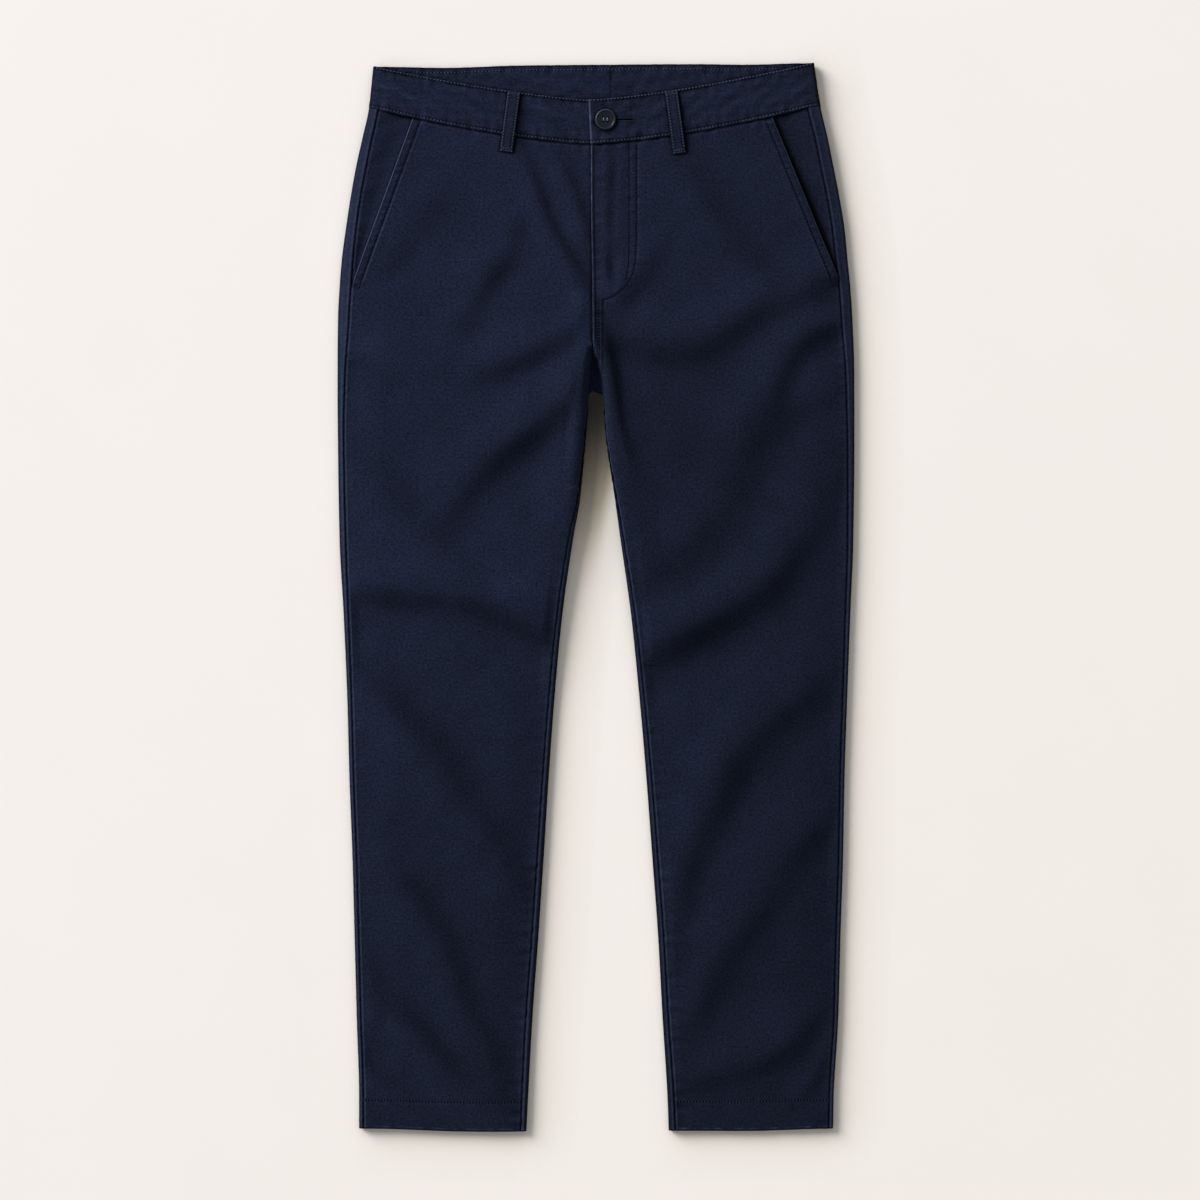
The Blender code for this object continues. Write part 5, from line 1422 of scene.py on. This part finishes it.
def make_sewing(pieces, thread, hole):
    """All the sewing that shows."""
    trees = {name: faces_of(piece) for name, piece in pieces.items()}
    # darker copies of the thread, which paint the shade where stitches sink in
    shaded_thread = new_material("shaded_navy_thread", thread_inputs, THREAD_SHADED)
    half_shaded_thread = new_material("half_shaded_navy_thread", thread_inputs, THREAD_HALF_SHADED)
    for side in ("right", "left"):
        band, front, back = (trees[piece + side] for piece in ("waistband_", "front_", "back_"))
        rows = [
            (band, band_path(side, in_from_edge, from_top, upward), upward)
            for in_from_edge, from_top in ((BAND_TOP_STITCH, True), (BAND_LOW_STITCH, False))
            for upward in (False, True)
        ]
        x = np.linspace(CENTRE_X + BACK_LEAN, side_sign(side) * 175.0, 60)
        rows.append((band, list(zip(x, band_y(x, False)[1] - INNER_BAND_STITCH)), False))
        sewing("waistband_" + side, rows, thread, hole)
        sewing("pocket_" + side, [(front, pocket_line(side), False)], shaded_thread, hole)
        rows = [(front, hem_path(side), False), (back, hem_path(side, True), True)]
        sewing("hem_" + side, rows, half_shaded_thread, hole, 3.05, 1.6, (2.1, 0.75))
    rows = [(trees["front_left"], path, False) for path in (FLY_STITCH_OUTER, FLY_STITCH_INNER) + CROTCH_SEAM]
    sewing("fly", rows, shaded_thread, hole, 3.0, 2.1)
    rows, bars = [], []
    for name, *ends in FRONT_LOOPS:
        upper, lower, way, _ = loop_frame(*ends)
        across = np.array([-way[1], way[0]])
        aside = across * (LOOP_WIDTH / 2 - LOOP_STITCH)
        for line in (aside, -aside):
            rows.append((trees[name], (upper + line + way * 1.5, lower + line - way * 3.6), False))
        for end in (lower - way * 2.6, lower - way * 3.6, upper + way * 2.2):
            bars.append((trees[name], (end - across * BAR_HALF, end + across * BAR_HALF), False))
    sewing("loops", rows, thread, hole, 2.8, 1.9)
    heights = [FLY_BAR_TOP - 1.5 * k for k in range(4)]
    shaded_bars = [(trees["front_left"], ((CENTRE_X + 0.8, y), (CENTRE_X + 11.0, y)), False) for y in heights]
    for side in ("right", "left"):
        (x, y), out = pocket_line(side)[1], side_sign(side)
        for k in range(4):
            start = (x + out * 0.4 * k, y + 1.3 * k)
            shaded_bars.append((trees["front_" + side], (start, (start[0] + out * 6.0, start[1] + 2.2)), False))
    beads("bartacks", bars, thread, *BAR_STITCH, BAR_RADIUS, lift=0.16)
    # dark painted shade along the bar tacks' edges
    beads("bartack_edges", bars, hole, *BAR_STITCH, 0.75, lift=0.0, flat=0.1)
    beads("shaded_bartacks", shaded_bars, shaded_thread, *BAR_STITCH, BAR_RADIUS, lift=0.16)
    make_buttonhole(trees["waistband_left"], half_shaded_thread, hole)


def make_buttonhole(band, thread, hole):
    """The buttonhole's end beside the button: a slit with close stitches along both its edges."""
    start, end = SLIT_ENDS
    y = BUTTON_AT[1]
    slit = [(band, ((start, y), (end, y)), False)]
    # the slit is a dark strip of painted shade
    beads("buttonhole_slit", slit, hole, 1.2, 1.6, 0.8, lift=0.05, flat=0.12)
    edges = [(band, ((start, y + off), (end + 0.6, y + off)), False) for off in (-SLIT_EDGE, SLIT_EDGE)]
    beads("buttonhole_edges", edges, thread, 1.25, 0.95, 0.42)


# ---- button


def turned(name, profile_points, segments, centre, material):
    """A turned piece: a profile of (radius, height) points carried round the vertical axis at centre."""
    radius, height = (part[:, None] for part in np.array(profile_points).T)
    angles = np.linspace(0.0, 2 * np.pi, segments, endpoint=False)
    x, y = centre[0] + radius * np.cos(angles), centre[1] + radius * np.sin(angles)
    rows = len(profile_points)
    faces = grid_quads(rows, segments, closed=True).tolist()
    faces += [range(segments)[::-1], range((rows - 1) * segments, rows * segments)]
    return add_mesh(name, stack(x, y, centre[2] + height), faces, material, sharp=BUTTON_SHARP)


def make_button(material, thread, hole):
    """The button with its thread: four dark holes, joined in pairs by bars of thread."""
    x, y = BUTTON_AT
    base = float(waist_top_z("left", np.array([x]))[0]) + BAND_PROUD + BAND_SPLIT - BUTTON_SUNK
    button = turned("button_disc", BUTTON_PROFILE, 96, (x, y, base), material)
    finish_piece(button, "button", "button")
    dish = base + BUTTON_PROFILE[-1][1]
    holes = [(x + i * HOLE_OFFSET, y + j * HOLE_OFFSET, dish) for i in (-1, 1) for j in (-1, 1)]
    for k, centre in enumerate(holes):
        finish_piece(turned(f"button_hole_{k + 1}", HOLE_PROFILE, 20, centre, hole), "button")
    tree = faces_of(button)
    bars = [(tree, ((x + i * 1.8, y - 2.6), (x + i * 1.8, y + 2.6)), False) for i in (-1, 1)]
    beads("button_thread", bars, thread, 5.2, 3.6, 0.55, lift=0.5)


# ---- materials

BLACK = (0.0, 0.0, 0.0, 1.0)
CLOTH_DYE = (0.0075, 0.0109, 0.0256, 1.0)
# the pale colour of worn cloth, which also paints the highlights
CLOTH_WORN_AND_HIGHLIGHT = (0.050, 0.066, 0.120, 1.0)
CLOTH_SHEEN = (0.5, 0.6, 0.9, 1.0)
# the navy thread as it shows where it is lit
THREAD = (0.055, 0.075, 0.125, 1.0)
# a darker copy of it, painting the shade where stitches sink in at the hem and the buttonhole
THREAD_HALF_SHADED = (0.026, 0.036, 0.066, 1.0)
# a pale copy, painting the glints on the button's thread
BUTTON_THREAD_GLINT = (0.16, 0.19, 0.25, 1.0)
# a darker copy still, painting the shade where stitches sink in at the fly, crotch and pockets
THREAD_SHADED = (0.0045, 0.0068, 0.0155, 1.0)
HOLE_COLOURS = (0.0006, 0.0008, 0.0018, 1.0), (0.002, 0.0028, 0.006, 1.0)
RESIN_COLOURS = (0.002, 0.0035, 0.008, 1.0), (0.008, 0.011, 0.021, 1.0)
# the painted highlight round the button's rim
RESIN_RIM_HIGHLIGHT = (0.045, 0.055, 0.085, 1.0)
RIM_RADIUS = 9.2
RIM_HIGHLIGHT_HALF_WIDTH = 0.9  # half the width of the painted highlight round the button's rim
FLOOR_COLOURS = (0.878, 0.845, 0.822, 1.0), (0.82, 0.78, 0.75, 1.0)
FLOOR_SHADED = (0.84, 0.755, 0.60, 1.0)
TWILL_SLANT = 0.62
RIBS_PER_METRE = 1150.0
GRAINS = {"Grain": (430.0, 2.3), "Fine grain": (900.0, 1.6), "Cloud": (26.0, 0.5)}  # scale and strength
PAINTED_FALLOFF = (-0.55, 0.33)  # painted light falloff: the colour's change per metre to the right and up, darker to the right and paler upwards
TOWARDS_LIGHT = (-0.62, 0.46, 0.64)
FROM_OPPOSITE = (0.62, -0.46, 0.64)
SKY_REACH = 0.05
CONTACT_SHADE = 0.17
CONTACT_REACH = 0.75  # how hidden the sky is where the contact shade has faded again
# how strong the painted glow is beside what lies on the table, on the side towards the light
PAINTED_GLOW = 0.1
WARM_SHADE = 2.0
CROTCH_SHADE = 0.93
# The shade between the legs, in metres: where it begins and where it is full, going up the table, past the
# line of the right leg's inseam, up to where that line no longer bounds it, inwards, and down from above
GAP_HEIGHT = (0.0, 0.19)
GAP_LEG_EDGE = (0.003, -0.013)
GAP_LEG_SLOPE = 0.18  # how much the right leg's inseam leans
GAP_WHOLE = (0.1235, 0.171)
GAP_SIDES = (0.05, 0.035)
GAP_TOP = (0.26, 0.22)


class Wire:
    """A value in a shader's node tree. Its sums and products with numbers and other wires add Math nodes."""

    def __init__(self, tree, socket):
        self.tree = tree
        self.socket = socket

    def maths(self, operation, *others):
        return add_node(self.tree, "Math", dict(enumerate((self,) + others)), operation=operation)

    def __add__(self, other):
        return self.maths("ADD", other)

    def __sub__(self, other):
        return self.maths("SUBTRACT", other)

    def __mul__(self, other):
        return self.maths("MULTIPLY", other)

    def clamp(self, low=0.0, high=1.0):
        return add_node(self.tree, "Clamp", {"Value": self, "Min": low, "Max": high})


def feed(tree, node, inputs):
    """Links a node's sockets to wires, and sets the others to their values."""
    for key, value in inputs.items():
        if isinstance(value, Wire):
            tree.links.new(value.socket, node.inputs[key])
        else:
            node.inputs[key].default_value = value


def add_node(tree, kind, inputs, output=0, **settings):
    """A shader node with these inputs and settings, as the wire of one of its outputs."""
    node = tree.nodes.new("ShaderNode" + kind)
    for name, value in settings.items():
        setattr(node, name, value)
    feed(tree, node, inputs)
    return Wire(tree, node.outputs[output])


def node_group(name, inputs, output, formula):
    """A shader group: named inputs, each of a kind and with a value, and one output, a formula of them."""
    tree = bpy.data.node_groups.new(name, "ShaderNodeTree")
    for label, (kind, value) in inputs.items():
        socket = tree.interface.new_socket(label, in_out="INPUT", socket_type="NodeSocket" + kind)
        if value is not None:
            socket.default_value = value
    tree.interface.new_socket(output, in_out="OUTPUT", socket_type="NodeSocketFloat")
    given = tree.nodes.new("NodeGroupInput").outputs
    result = formula(*(Wire(tree, given[label]) for label in inputs))
    feed(tree, tree.nodes.new("NodeGroupOutput"), {output: result})
    return tree


def new_material(name, inputs_of, *colours):
    """A material whose shader has the inputs that a function of its node tree gives."""
    material = bpy.data.materials.new(name)
    material.use_nodes = True
    tree = material.node_tree
    feed(tree, tree.nodes["Principled BSDF"], inputs_of(tree, *colours))
    return material


def place_in(tree):
    """The place in the garment's own frame, in metres."""
    return add_node(tree, "TexCoord", {}, output="Object")


def parts_of(vector):
    """A vector's three parts."""
    outputs = add_node(vector.tree, "SeparateXYZ", {0: vector}).socket.node.outputs
    return [Wire(vector.tree, socket) for socket in outputs]


def noise(vector, scale, detail=2.0, roughness=0.5):
    inputs = {"Scale": scale, "Detail": detail, "Roughness": roughness, "Vector": vector}
    return add_node(vector.tree, "TexNoise", inputs, output="Fac")


def mix(factor, a, b, **settings):
    """A mix of two colours."""
    inputs = {"Factor": factor, "A": a, "B": b}
    return add_node(factor.tree, "Mix", inputs, output="Result", data_type="RGBA", **settings)


def bump(height, strength, distance):
    inputs = {"Strength": strength, "Distance": distance, "Height": height}
    return add_node(height.tree, "Bump", inputs, output="Normal")


def ramp(value, start, end):
    """Rises smoothly, as t * t * (3 - 2 t), from 0 at start to 1 at end."""
    t = ((value - start) * (1 / (end - start))).clamp()
    return t * t * (t * -2.0 + 3.0)


def weave_height(weave, ribs):
    """Twill: diagonal ribs, sin(2 pi * ribs * (x - slant * y)), roughened by the fibres' noise."""
    x, y, _ = parts_of(weave)
    wave = ((y * -TWILL_SLANT + x) * ribs * (2 * np.pi)).maths("SINE")
    return wave * 0.3 + noise(weave, 700.0, 3.0, 0.6)


def mottle_factor(weave, *strengths):
    """Uneven dye: a factor of about 1 from grains a millimetre or two wide over broad, faint clouds."""
    total = 1.0
    for strength, (scale, _) in zip(strengths, GRAINS.values()):
        total = (noise(weave, scale, 2.0, 0.6) - 0.5) * strength + total
    return total


def painted_falloff_factor(place):
    """Painted light falloff: a factor above 1 at the upper left and below 1 at the lower right."""
    x, y, _ = parts_of(place)
    return y * PAINTED_FALLOFF[1] + (x * PAINTED_FALLOFF[0] + 1.0)


def twill_inputs(tree):
    """Navy twill: mottled dye, paler where seams and folded edges rub and where highlights are painted,
    darker with painted shade in seams, creases and under edges, and ribs in its bump.

    The colour is dye * (mottle * painted light falloff * (1 + tone)), then a mix to the worn, highlit colour
    by the positive part of the mesh's own attribute, which is wear with painted highlights; tone is its
    negative part, the painted shade.
    """
    given = {"Weave": ("Vector", None)}
    ribbed = given | {"Ribs per metre": ("Float", RIBS_PER_METRE)}
    grained = given | {name: ("Float", 1.0) for name in GRAINS}
    ribs = node_group("twill_weave", ribbed, "Height", weave_height)
    grains = node_group("dye_mottle", grained, "Factor", mottle_factor)
    painted_light_falloff = node_group("painted_light_falloff", {"Place": ("Vector", None)}, "Factor", painted_falloff_factor)
    weave = add_node(tree, "UVMap", {}, uv_map="weave")
    painted_shading_and_wear = add_node(tree, "Attribute", {}, output="Fac", attribute_name="wear_and_painted_shading")
    strengths = {name: strength for name, (_, strength) in GRAINS.items()}
    factor = add_node(tree, "Group", {"Weave": weave} | strengths, node_tree=grains)
    factor = factor * add_node(tree, "Group", {"Place": place_in(tree)}, node_tree=painted_light_falloff)
    factor = (factor * (painted_shading_and_wear.maths("MINIMUM", 0.25) + 1.0).clamp(0.06, 1.25)).clamp(0.02, 3.0)
    dye_with_painted_shading = mix(factor, BLACK, CLOTH_DYE, clamp_factor=False)
    pale_share = ((painted_shading_and_wear - 0.12) * noise(weave, 300.0, 3.0, 0.7) * 1.5).clamp()
    return {
        "Base Color": mix(pale_share, dye_with_painted_shading, CLOTH_WORN_AND_HIGHLIGHT),
        "Roughness": 0.9,
        "Specular IOR Level": 0.06,
        "Sheen Weight": 0.03,
        "Sheen Roughness": 0.5,
        "Sheen Tint": CLOTH_SHEEN,
        "Normal": bump(add_node(tree, "Group", {"Weave": weave}, node_tree=ribs), 0.6, 0.0004),
    }


def thread_inputs(tree, colour):
    """Sewing thread, with twist in its bump."""
    tone = noise(place_in(tree), 900.0)
    darker = tuple(0.6 * part for part in colour[:3]) + (1.0,)
    return {
        "Base Color": mix(tone, darker, colour),
        "Roughness": 0.85,
        "Specular IOR Level": 0.08,
        "Normal": bump(tone, 0.4, 0.0002),
    }


def button_inputs(tree):
    """Moulded resin, navy, slightly streaked and satin, with a painted highlight round its rim."""
    place = place_in(tree)
    streak = noise(place, 160.0, 3.0)
    flat = add_node(tree, "VectorMath", {0: place, 1: (1.0, 1.0, 0.0)}, operation="MULTIPLY")
    middle = (BUTTON_AT[0] * MM, BUTTON_AT[1] * MM, 0.0)
    radius = add_node(tree, "VectorMath", {0: flat, 1: middle}, output="Value", operation="DISTANCE")
    from_rim = (radius - RIM_RADIUS * MM).maths("ABSOLUTE")
    pale_share = (from_rim * (-1 / (RIM_HIGHLIGHT_HALF_WIDTH * MM)) + 1.0).clamp() * (streak * 0.8 + 0.3)
    colour = mix(pale_share, mix(streak, *RESIN_COLOURS), RESIN_RIM_HIGHLIGHT)
    return {"Base Color": colour, "Roughness": 0.3, "Specular IOR Level": 0.2}


def hole_inputs(tree):
    """The shade inside needle holes, buttonholes and thread holes."""
    colour = mix(noise(place_in(tree), 700.0), *HOLE_COLOURS)
    return {"Base Color": colour, "Roughness": 1.0, "Specular IOR Level": 0.0}


def occlusion(tree, way):
    """How much of the sky round a direction is hidden by what stands close by, from 0 in the open to 1."""
    inputs = {"Distance": SKY_REACH, "Normal": add_node(tree, "CombineXYZ", dict(enumerate(way)))}
    return add_node(tree, "AmbientOcclusion", inputs, output="AO", samples=12) * -1.0 + 1.0


def floor_inputs(tree):
    """Warm white paper with painted light: a touch darker towards the lower right, painted shade close to
    what lies on it and deepest between the legs, and a faint painted glow on its side towards the light.

    The contact shade is 1 - c * h * (r - h), where h is how hidden the sky is: it is gone again at h = r.
    """
    place = place_in(tree)
    x, y, _ = parts_of(place)
    colour = mix(((x - y) * 0.4 + 0.5 + noise(place, 9.0, 4.0) * 0.3).clamp(), *FLOOR_COLOURS)
    hidden = occlusion(tree, TOWARDS_LIGHT)
    close = hidden * (hidden * -1.0 + CONTACT_REACH)
    near = (close * (-4 * CONTACT_SHADE / CONTACT_REACH**2) + 1.0).clamp(0.0, 1.15)
    inside = ramp(y * -GAP_LEG_SLOPE + x, *GAP_LEG_EDGE).maths("MAXIMUM", ramp(y, *GAP_WHOLE))
    inside = inside * ramp(x.maths("ABSOLUTE"), *GAP_SIDES) * ramp(y, *GAP_TOP)
    painted_gap_shade = ramp(y, *GAP_HEIGHT) * inside * -CROTCH_SHADE + 1.0
    painted_glow = occlusion(tree, FROM_OPPOSITE) * (painted_gap_shade * near)
    shade = (painted_glow * PAINTED_GLOW + near) * painted_gap_shade
    warm = (shade * -WARM_SHADE + WARM_SHADE).clamp()
    colour = mix(shade, BLACK, mix(warm, colour, FLOOR_SHADED), clamp_factor=False)
    return {"Base Color": colour, "Roughness": 0.9, "Specular IOR Level": 0.1}


# ---- stage, light and camera

TABLE_HALF = 30000.0
TABLE_DROP = 0.3  # how far below the cloth it lies
FRAME_WIDTH = 1157.2
FRAME_CENTRE = (3.9, -3.3)
CAMERA_HEIGHT = 3000.0
CLOTH_HEIGHT = 6.0
SENSOR = 36.0
SUN_STRENGTH = 4.75
SUN_ANGLE = 32.0
SUN_ELEVATION = 24.0
SUN_AZIMUTH = 143.0
SUN_COLOUR = (1.0, 0.985, 0.965)
SKY = (0.46, 0.46, 0.46, 1.0)


def make_stage():
    """A pale table under the cloth."""
    corners = [(i * TABLE_HALF, j * TABLE_HALF, -TABLE_DROP) for i, j in ((-1, -1), (1, -1), (1, 1), (-1, 1))]
    add_mesh("table", corners, [range(4)], new_material("pale_table", floor_inputs))


def make_light():
    """A broad soft light, low from the upper left, and an even sky."""
    data = bpy.data.lights.new("window", "SUN")
    data.energy = SUN_STRENGTH
    data.angle = np.radians(SUN_ANGLE)
    data.color = SUN_COLOUR
    elevation, azimuth = np.radians(SUN_ELEVATION), np.radians(SUN_AZIMUTH)
    level = np.cos(elevation)
    towards = Vector((level * np.cos(azimuth), level * np.sin(azimuth), np.sin(elevation)))
    add_object("window", data).rotation_euler = towards.to_track_quat("Z", "Y").to_euler()
    world = bpy.data.worlds.new("sky")
    world.use_nodes = True
    world.node_tree.nodes["Background"].inputs["Color"].default_value = SKY
    bpy.context.scene.world = world


def make_camera():
    """Straight down from above, as wide as the frame at the garment's height."""
    data = bpy.data.cameras.new("camera")
    data.sensor_width = SENSOR
    data.lens = SENSOR * (CAMERA_HEIGHT - CLOTH_HEIGHT) / FRAME_WIDTH
    camera = add_object("camera", data)
    camera.location = Vector((*FRAME_CENTRE, CAMERA_HEIGHT)) * MM
    bpy.context.scene.camera = camera


def main():
    twill, hole = new_material("navy_twill", twill_inputs), new_material("needle_holes", hole_inputs)
    thread = new_material("navy_thread", thread_inputs, THREAD)
    pieces = {}
    for side in ("right", "left"):
        pieces["front_" + side], pieces["back_" + side] = make_panels(side, twill)
        pieces["facing_" + side] = make_facing(side, twill)
        pieces["waistband_" + side] = make_waistband(side, twill)
        pieces["hem_" + side] = make_hem(side, twill)
    for name, upper, lower in FRONT_LOOPS:
        pieces[name] = make_front_loop(name, upper, lower, twill)
    for name, x in BACK_LOOPS:
        pieces[name] = make_back_loop(name, x, twill)
    resin = new_material("navy_resin", button_inputs)
    make_button(resin, new_material("button_thread", thread_inputs, BUTTON_THREAD_GLINT), hole)
    make_sewing(pieces, thread, hole)
    make_stage()
    make_light()
    make_camera()
    bpy.context.scene.view_settings.view_transform = "Standard"


main()
